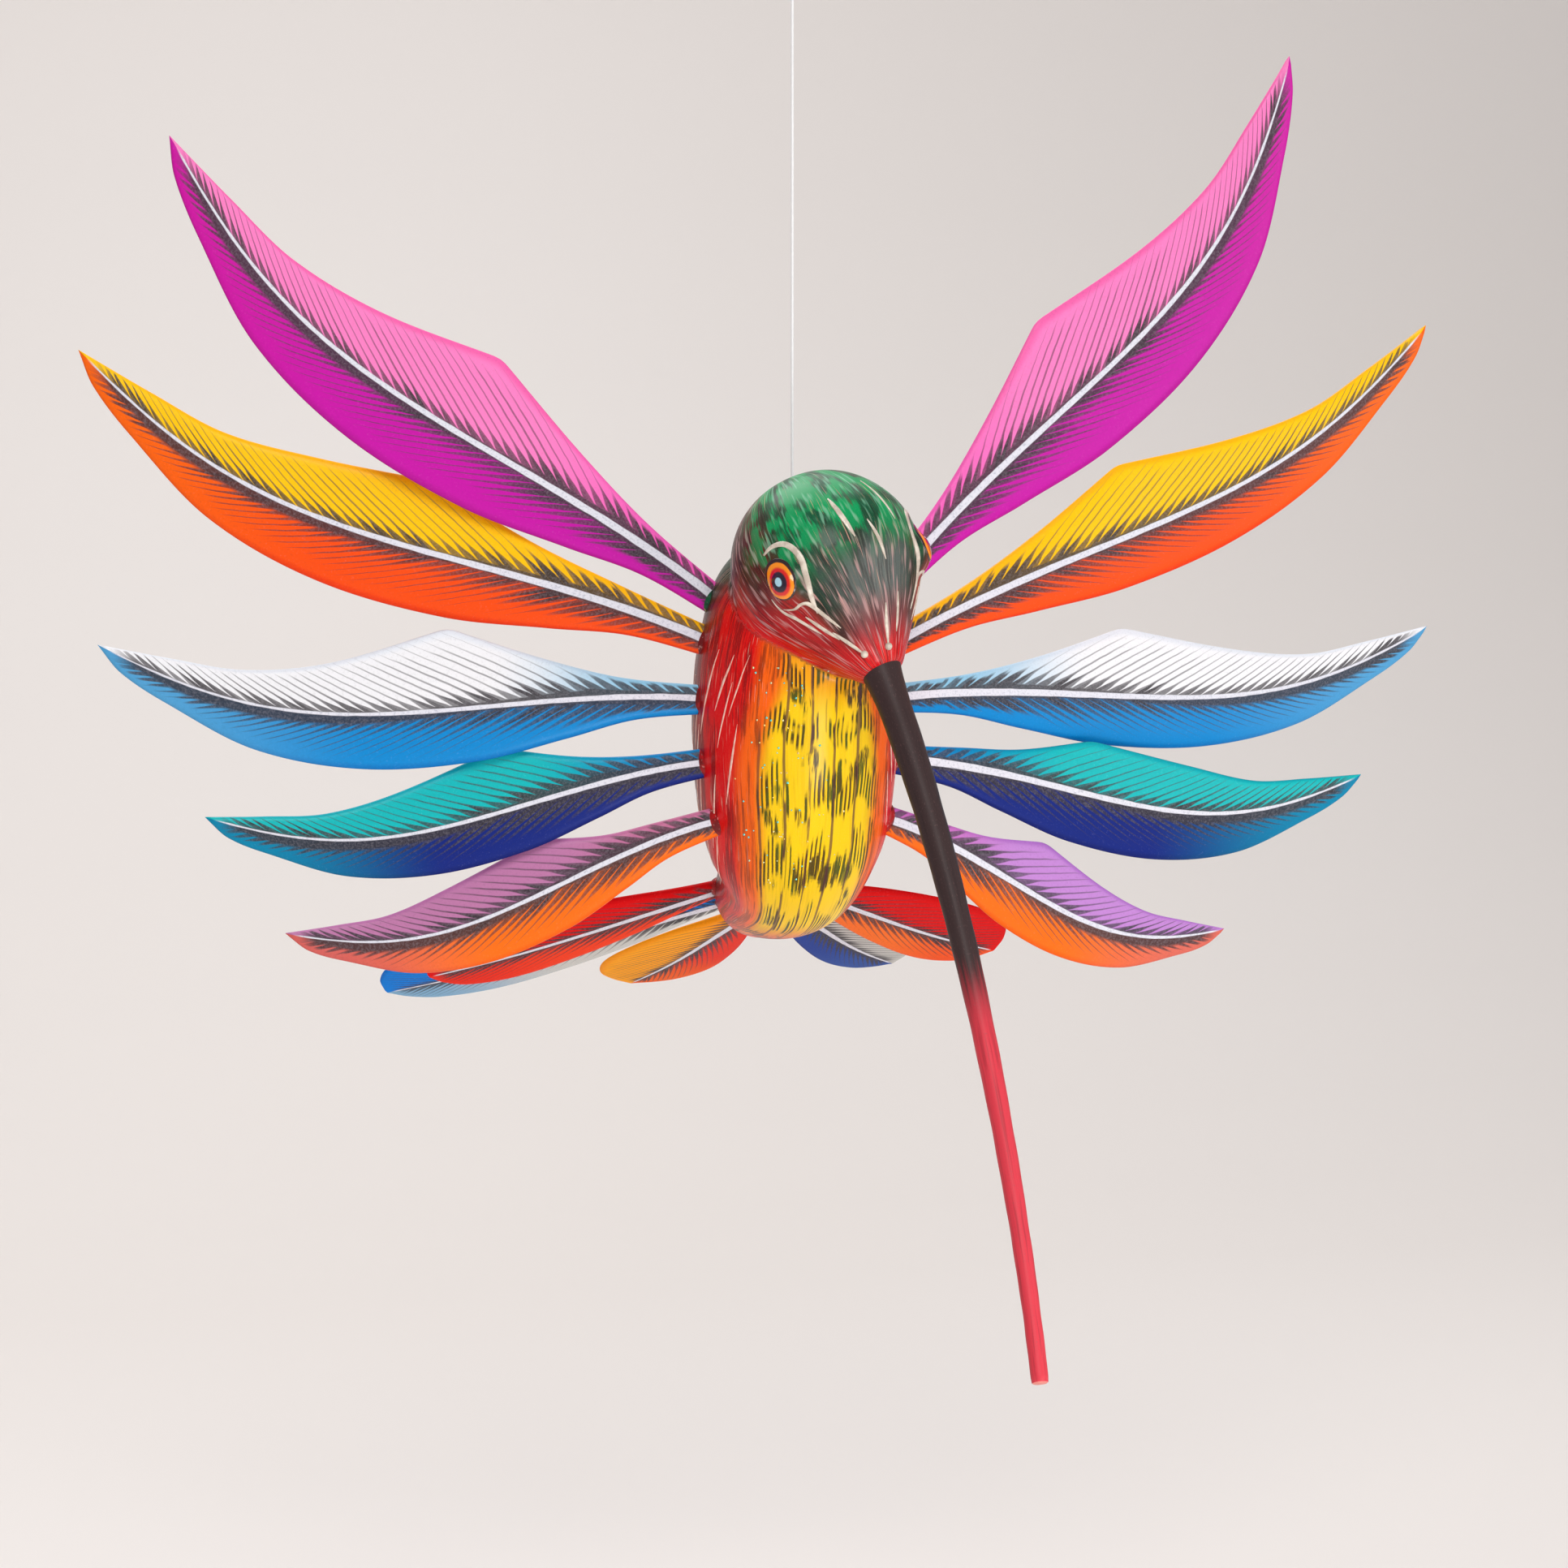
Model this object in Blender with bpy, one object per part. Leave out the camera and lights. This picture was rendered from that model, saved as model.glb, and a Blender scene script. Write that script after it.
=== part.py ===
"""A carved and painted wooden hummingbird that hangs from a nylon line.

Metres, +Z up. The origin is the point of the upper loop that bears on its hook, and the bird faces -Y.
The bird's own frame has its wing roots at Y = 0 and its midplane at X = 0, and hangs DROP below the hook.
"""
import math

import bmesh
import bpy
from mathutils import Matrix, Vector

MM = 0.001
GAP = 0.3 * MM                      # left between pieces that touch

# Where the bird hangs. The balance point is the plumb line through the finished bird's weight.
DROP = 172.0 * MM                   # from the hook down to the middle of the wing roots
BALANCE_X = 0.3 * MM
BALANCE_Y = 5.3 * MM

# The line and the hardware that it is tied to
LINE_DIAMETER = 0.6 * MM
KNOT_DIAMETER = 2.0 * MM
TOP_LOOP_HEIGHT = 16.0 * MM
TOP_LOOP_WIDTH = 7.0 * MM
TIE_LOOP_HEIGHT = 3.3 * MM
TIE_LOOP_WIDTH = 3.0 * MM
EYE_HEIGHT = 50.6 * MM              # middle of the screw eye's ring, in the bird's frame
EYE_RADIUS = 2.2 * MM
EYE_WIRE = 1.1 * MM
EYE_SHANK = 12.0 * MM
EYE_SHANK_DIAMETER = 1.5 * MM

# Wing feathers: name, length, rise above level and sweep back (degrees), root out from the midplane,
# root height, depth of the blade below its chord, height of the shoulder above it, and where that is
# (the last three are fractions of the length)
LEFT_WING = (
    ("magenta", 132.3 * MM, 39.9, 2.0, 16.9 * MM, 36.1 * MM, 0.163, 0.064, 0.45),
    ("yellow", 127.7 * MM, 24.9, 7.0, 19.4 * MM, 28.4 * MM, 0.161, 0.043, 0.46),
    ("white", 112.8 * MM, 5.6, 2.5, 20.2 * MM, 16.8 * MM, 0.167, 0.079, 0.43),
    ("teal", 93.4 * MM, -5.7, 6.5, 20.0 * MM, 4.4 * MM, 0.168, 0.074, 0.40),
    ("purple", 82.3 * MM, -14.3, 10.5, 18.5 * MM, -7.3 * MM, 0.186, 0.062, 0.38),
)
RIGHT_WING = (
    ("magenta", 132.0 * MM, 51.1, 4.0, 19.6 * MM, 39.4 * MM, 0.175, 0.066, 0.43),
    ("yellow", 129.5 * MM, 28.6, 5.0, 20.8 * MM, 27.8 * MM, 0.136, 0.060, 0.43),
    ("white", 120.4 * MM, 5.8, 9.0, 20.7 * MM, 16.6 * MM, 0.150, 0.064, 0.41),
    ("teal", 99.5 * MM, -3.0, 4.5, 21.0 * MM, 4.5 * MM, 0.184, 0.048, 0.40),
    ("purple", 77.4 * MM, -18.0, 9.5, 19.9 * MM, -7.8 * MM, 0.200, 0.068, 0.42),
)
WING_THICKNESS = 2.4 * MM
WING_STEM = 5.2 * MM
WING_TENON = (2.0 * MM, 8.0 * MM)   # diameter and length

# Tail feathers: name, root and tip in the bird's frame, width of the round end
TAIL = (
    ("tail_left_outer", (-8.0, 29.5, -22.5), (-62.4, 57.0, -41.4), 21.0),
    ("tail_left_inner", (-5.2, 34.0, -25.2), (-64.8, 95.0, -49.0), 23.0),
    ("tail_centre", (0.0, 36.5, -28.0), (-11.0, 98.0, -49.0), 24.0),
    ("tail_right_inner", (5.2, 34.0, -25.2), (47.0, 94.0, -46.0), 20.0),
    ("tail_right_outer", (8.0, 29.5, -22.5), (58.3, 57.0, -39.5), 21.0),
)
TAIL_PITCH = 38.0                   # degrees that the fan slopes down to the back
TAIL_THICKNESS = 2.2 * MM
TAIL_STEM = 4.0 * MM
TAIL_TENON = (1.6 * MM, 3.6 * MM)

BLADE_BEVEL = 0.5 * MM
# Each collar of filler: half sizes along, across and through its feather, and how far out its middle is
COLLAR_WING = (2.8 * MM, 4.1 * MM, 2.9 * MM, 0.8 * MM)
COLLAR_TAIL = (3.6 * MM, 3.4 * MM, 2.8 * MM, 1.6 * MM)

# The carved body: millimetres X, Y, Z and radius along its middle line, from the tail stub up
TORSO = (
    (0.0, 35.5, -25.2, 6.8),
    (0.0, 29.5, -23.8, 9.3),
    (2.2, 15.0, -17.4, 14.2),
    (1.3, 7.6, -9.0, 17.9),
    (0.3, 3.2, 3.0, 19.5),
    (0.0, 1.0, 16.0, 20.0),
    (0.0, -1.5, 28.0, 19.1),
    (0.0, -4.5, 38.0, 16.6),
    (0.0, -8.0, 44.8, 9.6),
)
# The head: distance along its axis from its middle, towards the beak, and radius there
HEAD_MIDDLE = (1.5, -15.0, 42.0)
BEAK_ROOT = (9.0, -27.0, 22.4)
HEAD = (
    (-17.6, 3.5), (-15.6, 9.2), (-11.5, 14.0), (-5.5, 17.3), (0.0, 18.2),
    (6.0, 17.0), (12.5, 13.0), (18.5, 8.6), (24.2, 4.2),
)

# The beak: a Bezier curve from the face down and forward to its blunt tip
BEAK_HANDLES = ((18.7, -50.0, -16.7), (20.5, -76.0, -73.0))
BEAK_TIP = (19.7, -88.0, -98.7)
BEAK_RADII = (3.3 * MM, 1.55 * MM)
BEAK_TENON = (3.0 * MM, 9.0 * MM)

BODY_SIDES = 8                      # bevel steps, which makes 20 sides
CORAL = (0.72, 0.09, 0.1)
PAINT = {
    "magenta": (0.80, 0.15, 0.45), "yellow": (0.88, 0.40, 0.03), "white": (0.72, 0.74, 0.76),
    "teal": (0.04, 0.45, 0.50), "purple": (0.45, 0.22, 0.50), "tail": (0.55, 0.06, 0.04),
}


def millimetres(values):
    return Vector(values) * MM


def clear_scene():
    for item in list(bpy.data.objects):
        bpy.data.objects.remove(item, do_unlink=True)


def new_collection(name):
    collection = bpy.data.collections.new(name)
    bpy.context.scene.collection.children.link(collection)
    return collection


def paint(name, colour, roughness=0.4, metallic=0.0):
    material = bpy.data.materials.new(name)
    material.use_nodes = True
    shader = material.node_tree.nodes["Principled BSDF"]
    shader.inputs["Base Color"].default_value = (*colour, 1.0)
    shader.inputs["Roughness"].default_value = roughness
    shader.inputs["Metallic"].default_value = metallic
    material.diffuse_color = (*colour, 1.0)
    return material


def add_object(name, mesh, collection, parent, material=None, matrix=None):
    """Put a mesh in a collection, under the empty on whose axis it moves."""
    item = bpy.data.objects.new(name, mesh)
    collection.objects.link(item)
    item.parent = parent
    frame = matrix if matrix is not None else Matrix.Identity(4)
    item.matrix_basis = Matrix.Translation(parent["offset"]) @ frame
    if material:
        mesh.materials.clear()
        mesh.materials.append(material)
        mesh.shade_smooth()
        mesh.set_sharp_from_angle(angle=math.radians(35))
    else:
        item.hide_render = True
        item.display_type = "WIRE"
    return item


def add_pivot(name, place, frame_origin, parent=None):
    """An empty on a joint's axis. Its offset leads from it to the frame that its pieces are drawn in."""
    empty = bpy.data.objects.new(name, None)
    bpy.context.scene.collection.objects.link(empty)
    empty.empty_display_size = 5 * MM
    empty.parent = parent
    empty.location = Vector(place) - (Vector(parent["place"]) if parent else Vector())
    empty["place"] = list(place)
    empty["offset"] = list(Vector(frame_origin) - Vector(place))
    return empty


def closed_mesh(curve):
    """The mesh of a curve with its loose caps welded and every face turned out."""
    holder = bpy.data.objects.new("holder", curve)
    bpy.context.scene.collection.objects.link(holder)
    depsgraph = bpy.context.evaluated_depsgraph_get()
    mesh = bpy.data.meshes.new_from_object(holder.evaluated_get(depsgraph))
    bpy.data.objects.remove(holder)
    shape = bmesh.new()
    shape.from_mesh(mesh)
    bmesh.ops.remove_doubles(shape, verts=shape.verts, dist=1e-6)
    bmesh.ops.recalc_face_normals(shape, faces=shape.faces)
    shape.to_mesh(mesh)
    shape.free()
    return mesh


def evaluated_mesh(item):
    """The mesh of an object after its modifiers, in the object's own coordinates."""
    depsgraph = bpy.context.evaluated_depsgraph_get()
    return bpy.data.meshes.new_from_object(item.evaluated_get(depsgraph))


def tube_mesh(points, radii, steps, smooth_steps=0, cyclic=False):
    """A round tube through points. With smooth_steps its middle line is a smooth Bezier curve."""
    curve = bpy.data.curves.new("tube", "CURVE")
    curve.dimensions = "3D"
    curve.bevel_depth = 1.0
    curve.bevel_resolution = steps
    curve.use_fill_caps = not cyclic
    spline = curve.splines.new("BEZIER" if smooth_steps else "POLY")
    knots = spline.bezier_points if smooth_steps else spline.points
    knots.add(len(points) - 1)
    for knot, point, radius in zip(knots, points, radii):
        knot.radius = radius
        if smooth_steps:
            knot.co = point
            knot.handle_left_type = knot.handle_right_type = "AUTO"
        else:
            knot.co = (*point, 1.0)
    spline.use_cyclic_u = cyclic
    if smooth_steps:
        spline.resolution_u = smooth_steps
        spline.radius_interpolation = "CARDINAL"
    return closed_mesh(curve)


def boolean(item, cutter, operation="DIFFERENCE", collection=False):
    modifier = item.modifiers.new(operation.lower(), "BOOLEAN")
    modifier.operation = operation
    modifier.solver = "EXACT"
    if collection:
        modifier.operand_type = "COLLECTION"
        modifier.collection = cutter
    else:
        modifier.object = cutter


def rod_mesh(diameter, start, end, segments=8):
    """A cylinder along X from start to end."""
    shape = bmesh.new()
    turn = Matrix.Translation(((start + end) / 2, 0, 0)) @ Matrix.Rotation(math.pi / 2, 4, "Y")
    bmesh.ops.create_cone(shape, cap_ends=True, segments=segments, radius1=diameter / 2,
                          radius2=diameter / 2, depth=end - start, matrix=turn)
    mesh = bpy.data.meshes.new("rod")
    shape.to_mesh(mesh)
    shape.free()
    return mesh


def ball_mesh(half_sizes, segments=12, rings=8):
    shape = bmesh.new()
    bmesh.ops.create_uvsphere(shape, u_segments=segments, v_segments=rings, radius=1.0,
                              matrix=Matrix.Diagonal((*half_sizes, 1.0)))
    mesh = bpy.data.meshes.new("ball")
    shape.to_mesh(mesh)
    shape.free()
    return mesh


def axis_frame(place, along, across):
    """A matrix whose X runs along a piece and whose Y lies across it."""
    x_axis = Vector(along).normalized()
    z_axis = x_axis.cross(Vector(across)).normalized()
    y_axis = z_axis.cross(x_axis)
    turn = Matrix((x_axis, y_axis, z_axis)).transposed().to_4x4()
    return Matrix.Translation(place) @ turn


def carved_mesh(grow, work, pivot):
    """Torso and head in one. Grow makes the space that the pieces round the body keep clear of."""
    torso_points = [millimetres(row[:3]) for row in TORSO]
    torso_points[0] += (torso_points[0] - torso_points[1]).normalized() * grow
    torso = tube_mesh(torso_points, [row[3] * MM + grow for row in TORSO], BODY_SIDES, smooth_steps=3)
    middle, beak_root = millimetres(HEAD_MIDDLE), millimetres(BEAK_ROOT)
    axis = (beak_root - middle).normalized()
    head_points = [middle + axis * row[0] * MM for row in HEAD]
    head_points[0] -= axis * grow
    head_points[-1] += axis * grow
    head = tube_mesh(head_points, [row[1] * MM + grow for row in HEAD], BODY_SIDES, smooth_steps=3)
    torso_item = add_object("torso_shape", torso, work, pivot)
    boolean(torso_item, add_object("head_shape", head, work, pivot), "UNION")
    return evaluated_mesh(torso_item)


def blade_mesh(outline, thickness, grow=0.0):
    """A flat carved slat with chamfered edges, from its outline in its own X and Y."""
    curve = bpy.data.curves.new("blade", "CURVE")
    curve.dimensions = "2D"
    curve.fill_mode = "BOTH"
    curve.extrude = thickness / 2 - BLADE_BEVEL + grow
    curve.bevel_depth = BLADE_BEVEL
    curve.bevel_resolution = 0
    curve.offset = grow - BLADE_BEVEL
    spline = curve.splines.new("BEZIER")
    spline.bezier_points.add(len(outline) - 1)
    for knot, (along, across, handle) in zip(spline.bezier_points, outline):
        knot.co = (along, across, 0.0)
        knot.handle_left_type = knot.handle_right_type = handle
    spline.use_cyclic_u = True
    spline.resolution_u = 2
    return closed_mesh(curve)


def wing_outline(length, belly, shoulder, shoulder_at):
    """A pointed slat with a full lower edge, and a shoulder where its upper edge turns in to the tip."""
    half_stem = WING_STEM / 2
    lower = [(0.10, 0.16), (0.21, 0.44), (0.36, 0.80), (0.55, 1.0), (0.73, 0.88), (0.88, 0.44), (0.96, 0.13)]
    upper = [(0.88, -0.012), (0.76, -0.020), (0.62, 0.004)]
    points = [(-4 * MM, -half_stem, "VECTOR")]
    points += [(s * length, -half_stem * (1 - t) - belly * length * t, "AUTO") for s, t in lower]
    points += [(length, 0.0, "VECTOR")]
    points += [(s * length, t * length, "AUTO") for s, t in upper]
    points += [(shoulder_at * length, shoulder * length, "AUTO")]
    points += [(0.62 * shoulder_at * length, 0.58 * shoulder * length, "AUTO")]
    points += [(0.30 * shoulder_at * length, half_stem, "AUTO"), (-4 * MM, half_stem, "VECTOR")]
    return points


def tail_outline(length, width):
    """A slat that widens from its stem to a round end."""
    half_stem, half = TAIL_STEM / 2, width / 2
    side = [(0.12, 0.22), (0.32, 0.62), (0.55, 0.92), (0.76, 1.0), (0.91, 0.72)]
    points = [(-1.5 * MM, -half_stem, "VECTOR")]
    points += [(s * length, -half_stem - (half - half_stem) * t, "AUTO") for s, t in side]
    points += [(length, 0.0, "AUTO")]
    points += [(s * length, half_stem + (half - half_stem) * t, "AUTO") for s, t in reversed(side)]
    points += [(-1.5 * MM, half_stem, "VECTOR")]
    return points


class Feather:
    """One slat: where it sits, its outline, its thickness, its tenon and the collar of filler round it."""

    def __init__(self, name, frame, outline, thickness, tenon, collar, colour):
        self.name = name
        self.frame = frame
        self.outline = outline
        self.thickness = thickness
        self.tenon = tenon
        self.collar = collar
        self.colour = colour


def wing_feathers(side, wing, rows):
    feathers = []
    for name, length, rise, sweep, out, height, belly, shoulder, shoulder_at in rows:
        rise, sweep = math.radians(rise), math.radians(sweep)
        level = Vector((side * math.cos(sweep), math.sin(sweep), 0))
        along = level * math.cos(rise) + Vector((0, 0, math.sin(rise)))
        across = Vector((0, 0, math.cos(rise))) - level * math.sin(rise)
        frame = axis_frame((side * out, 0, height), along, across)
        outline = wing_outline(length, belly, shoulder, shoulder_at)
        feathers.append(Feather(f"{wing}_{name}", frame, outline, WING_THICKNESS, WING_TENON,
                                COLLAR_WING, name))
    return feathers


def tail_feathers():
    pitch = math.radians(TAIL_PITCH)
    fan_normal = Vector((0, math.sin(pitch), math.cos(pitch)))
    feathers = []
    for name, root, tip, width in TAIL:
        along = millimetres(tip) - millimetres(root)
        frame = axis_frame(millimetres(root), along, fan_normal.cross(along))
        outline = tail_outline(along.length, width * MM)
        feathers.append(Feather(name, frame, outline, TAIL_THICKNESS, TAIL_TENON, COLLAR_TAIL, "tail"))
    return feathers


def make_feather(feather, carved_space, model, work, sockets, pivot, colours):
    """The slat, trimmed to the body with its tenon added, and the cutters that other pieces need."""
    diameter, depth = feather.tenon
    blade = add_object(f"{feather.name}_feather", blade_mesh(feather.outline, feather.thickness), model,
                       pivot, colours[feather.colour], feather.frame)
    boolean(blade, carved_space)
    tenon = add_object(f"{feather.name}_tenon", rod_mesh(diameter, -depth, 5 * MM), work, pivot,
                       matrix=feather.frame)
    boolean(blade, tenon, "UNION")
    add_object(f"{feather.name}_socket", rod_mesh(diameter + 2 * GAP, -depth - GAP, 5 * MM), sockets,
               pivot, matrix=feather.frame)
    return add_object(f"{feather.name}_room", blade_mesh(feather.outline, feather.thickness, GAP), work,
                      pivot, matrix=feather.frame)


def make_collars(feathers, rooms, carved_space, model, work, pivot, colours):
    """Wood filler round each root. It meets the body, its feather and the collar before it."""
    before = None
    for feather, room in zip(feathers, rooms):
        *half_sizes, out = feather.collar
        frame = feather.frame @ Matrix.Translation((out, 0, 0))
        collar = add_object(f"{feather.name}_filler", ball_mesh(half_sizes), model, pivot,
                            colours["filler"], frame)
        boolean(collar, carved_space)
        boolean(collar, room)
        if before:
            boolean(collar, before)
        grown = [size + GAP for size in half_sizes]
        before = add_object(f"{feather.name}_filler_room", ball_mesh(grown), work, pivot, matrix=frame)


def make_beak(carved_space, model, work, sockets, pivot, colours):
    middle, root = millimetres(HEAD_MIDDLE), millimetres(BEAK_ROOT)
    axis = (root - middle).normalized()
    start = root - axis * 1.5 * MM
    first, second = (millimetres(handle) for handle in BEAK_HANDLES)
    tip = millimetres(BEAK_TIP)
    steps = 22
    points, radii = [], []
    for index in range(steps + 1):
        t = index / steps
        points.append(start * (1 - t) ** 3 + first * 3 * t * (1 - t) ** 2
                      + second * 3 * t * t * (1 - t) + tip * t ** 3)
        radii.append(BEAK_RADII[0] + (BEAK_RADII[1] - BEAK_RADII[0]) * (1 - (1 - t) ** 1.7))
    diameter, depth = BEAK_TENON
    frame = axis_frame(root, -axis, (0, 0, 1))
    beak = add_object("beak", tube_mesh(points, radii, 4), model, pivot, colours["beak"])
    boolean(beak, carved_space)
    boolean(beak, add_object("beak_tenon", rod_mesh(diameter, -4 * MM, depth), work, pivot,
                             matrix=frame), "UNION")
    add_object("beak_socket", rod_mesh(diameter + 2 * GAP, -4 * MM, depth + GAP), sockets, pivot,
               matrix=frame)


def make_screw_eye(model, work, sockets, pivot, colours):
    """A ring across the bird's midplane, on a shank that goes down into its back."""
    place = Vector((BALANCE_X, BALANCE_Y, EYE_HEIGHT))
    bpy.ops.mesh.primitive_torus_add(major_radius=EYE_RADIUS, minor_radius=EYE_WIRE / 2,
                                     major_segments=20, minor_segments=8)
    ring = bpy.context.object
    mesh = ring.data
    bpy.data.objects.remove(ring)
    mesh.transform(Matrix.Rotation(math.pi / 2, 4, "Y"))
    eye = add_object("screw_eye", mesh, model, pivot, colours["steel"], Matrix.Translation(place))
    down = axis_frame(place, (0, 0, -1), (1, 0, 0))
    end = EYE_RADIUS + EYE_SHANK
    boolean(eye, add_object("eye_shank", rod_mesh(EYE_SHANK_DIAMETER, EYE_RADIUS, end), work, pivot,
                            matrix=down), "UNION")
    add_object("eye_hole", rod_mesh(EYE_SHANK_DIAMETER + 2 * GAP, EYE_RADIUS, end + GAP), sockets, pivot,
               matrix=down)


def loop_points(round_at, neck_at, width, count=22):
    """A drop-shaped loop in the XZ plane, round at one height and drawn in to a neck at the other."""
    points = []
    for index in range(count):
        turn = 2 * math.pi * index / count
        part = (1 - math.cos(turn)) / 2
        spread = math.sin(math.pi * (1 - part) ** 0.8 / 2) ** 0.5 if part < 1 else 0.0
        points.append(Vector((width / 2 * math.sin(turn) * spread, 0,
                              round_at + (neck_at - round_at) * part)))
    return points


def line_heights():
    """How high the upper knot, the lower knot and the bottom of the tie loop are."""
    radius, knot = LINE_DIAMETER / 2, KNOT_DIAMETER / 2
    upper_knot = radius - TOP_LOOP_HEIGHT - GAP - knot
    tie_bottom = EYE_HEIGHT - DROP + EYE_RADIUS - EYE_WIRE / 2 - GAP - radius
    lower_knot = tie_bottom + TIE_LOOP_HEIGHT + radius + GAP + knot
    return upper_knot, lower_knot, tie_bottom


def make_line(model, pivots, colours):
    """The nylon from the hook down: upper loop, knot, line, knot, and the loop through the screw eye."""
    radius, knot = LINE_DIAMETER / 2, KNOT_DIAMETER / 2
    upper_knot, lower_knot, tie_bottom = line_heights()
    nylon = colours["nylon"]

    def loop(name, round_at, neck_at, width, pivot):
        points = loop_points(round_at, neck_at, width)
        add_object(name, tube_mesh(points, [radius] * len(points), 2, cyclic=True), model, pivot, nylon)

    loop("upper_loop", radius, upper_knot + knot + GAP + radius, TOP_LOOP_WIDTH, pivots["hook"])
    loop("tie_loop", tie_bottom, tie_bottom + TIE_LOOP_HEIGHT, TIE_LOOP_WIDTH, pivots["lower"])
    for name, height, pivot in (("upper_knot", upper_knot, "upper"), ("lower_knot", lower_knot, "lower")):
        add_object(name, ball_mesh((knot, knot, knot), 12, 8), model, pivots[pivot], nylon,
                   Matrix.Translation((0, 0, height)))
    top, bottom = upper_knot - knot - GAP, lower_knot + knot + GAP
    count = 46
    points = [Vector((0, 0, top + (bottom - top) * index / (count - 1))) for index in range(count)]
    add_object("nylon_line", tube_mesh(points, [radius] * count, 2), model, pivots["upper"], nylon)


def main():
    clear_scene()
    model = new_collection("carved_hummingbird")
    work = new_collection("cutters")
    sockets = new_collection("sockets")
    colours = {name: paint(f"{name}_paint", colour) for name, colour in PAINT.items()}
    colours["carving"] = paint("carving_paint", (0.35, 0.10, 0.03))
    colours["filler"] = paint("filler_paint", (0.10, 0.03, 0.02), 0.5)
    colours["beak"] = paint("beak_paint", CORAL)
    colours["steel"] = paint("steel", (0.55, 0.53, 0.50), 0.3, 1.0)
    colours["nylon"] = paint("nylon", (0.75, 0.76, 0.78), 0.25)

    upper_knot, lower_knot, _ = line_heights()
    zero = (0, 0, 0)
    pivots = {"hook": add_pivot("hook_pivot", zero, zero)}
    pivots["upper"] = add_pivot("upper_pivot", (0, 0, upper_knot), zero, pivots["hook"])
    pivots["lower"] = add_pivot("lower_pivot", (0, 0, lower_knot), zero, pivots["upper"])
    bird = add_pivot("bird_pivot", (0, 0, EYE_HEIGHT - DROP), (-BALANCE_X, -BALANCE_Y, -DROP),
                     pivots["lower"])
    bpy.context.view_layer.update()

    make_line(model, pivots, colours)
    carved_space = add_object("carved_space", carved_mesh(GAP, work, bird), work, bird)
    left, right = wing_feathers(-1, "left", LEFT_WING), wing_feathers(1, "right", RIGHT_WING)
    for group in (left, right, tail_feathers()):
        rooms = [make_feather(feather, carved_space, model, work, sockets, bird, colours)
                 for feather in group]
        make_collars(group, rooms, carved_space, model, work, bird, colours)
    make_beak(carved_space, model, work, sockets, bird, colours)
    make_screw_eye(model, work, sockets, bird, colours)
    body = add_object("carved_body", carved_mesh(0.0, work, bird), model, bird, colours["carving"])
    boolean(body, sockets, collection=True)
    bpy.context.view_layer.update()


main()
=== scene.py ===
"""Looks of the carved hummingbird: fine meshes and painted, varnished materials round the CAD frame."""

import math
import random

import bmesh
import bpy
import numpy as np
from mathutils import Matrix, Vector, noise
from mathutils.bvhtree import BVHTree


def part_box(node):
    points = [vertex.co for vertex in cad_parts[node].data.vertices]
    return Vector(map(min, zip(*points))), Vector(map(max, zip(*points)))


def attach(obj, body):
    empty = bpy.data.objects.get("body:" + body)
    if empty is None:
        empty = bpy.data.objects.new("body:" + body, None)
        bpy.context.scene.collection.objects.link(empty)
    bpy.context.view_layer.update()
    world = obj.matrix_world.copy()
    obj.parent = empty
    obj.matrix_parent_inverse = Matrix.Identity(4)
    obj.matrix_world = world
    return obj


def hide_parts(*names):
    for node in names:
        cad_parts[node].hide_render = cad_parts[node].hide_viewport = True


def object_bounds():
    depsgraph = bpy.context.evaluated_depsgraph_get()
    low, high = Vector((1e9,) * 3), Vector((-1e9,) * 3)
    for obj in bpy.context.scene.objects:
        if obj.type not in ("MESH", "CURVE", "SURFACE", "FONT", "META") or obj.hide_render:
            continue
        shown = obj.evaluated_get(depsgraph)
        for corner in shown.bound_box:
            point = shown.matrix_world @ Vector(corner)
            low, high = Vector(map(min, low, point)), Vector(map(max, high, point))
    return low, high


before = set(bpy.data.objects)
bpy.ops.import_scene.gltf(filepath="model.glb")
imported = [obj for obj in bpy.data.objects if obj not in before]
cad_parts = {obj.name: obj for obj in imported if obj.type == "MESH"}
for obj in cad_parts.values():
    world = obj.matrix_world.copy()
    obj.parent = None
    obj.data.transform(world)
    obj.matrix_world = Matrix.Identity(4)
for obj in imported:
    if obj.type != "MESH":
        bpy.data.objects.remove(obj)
cad_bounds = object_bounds()

MM = 0.001
BIRD_ORIGIN = Vector((-0.3 * MM, -5.3 * MM, -172.0 * MM))   # middle of the wing roots, on the midplane

# ---------------- driving sizes, as the CAD has them
LEFT_WING = (
    ("magenta", 132.3, 39.9, 2.0, 16.9, 36.1, 0.163, 0.064, 0.45),
    ("yellow", 127.7, 24.9, 7.0, 19.4, 28.4, 0.161, 0.043, 0.46),
    ("white", 112.8, 5.6, 2.5, 20.2, 16.8, 0.167, 0.079, 0.43),
    ("teal", 93.4, -5.7, 6.5, 20.0, 4.4, 0.168, 0.074, 0.40),
    ("purple", 82.3, -14.3, 10.5, 18.5, -7.3, 0.186, 0.062, 0.38),
)
RIGHT_WING = (
    ("magenta", 132.0, 51.1, 4.0, 19.6, 39.4, 0.175, 0.066, 0.43),
    ("yellow", 129.5, 28.6, 5.0, 20.8, 27.8, 0.136, 0.060, 0.43),
    ("white", 120.4, 5.8, 9.0, 20.7, 16.6, 0.150, 0.064, 0.41),
    ("teal", 99.5, -3.0, 4.5, 21.0, 4.5, 0.184, 0.048, 0.40),
    ("purple", 77.4, -18.0, 9.5, 19.9, -7.8, 0.200, 0.068, 0.42),
)
WING_THICKNESS, WING_STEM = 2.4, 5.2
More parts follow.
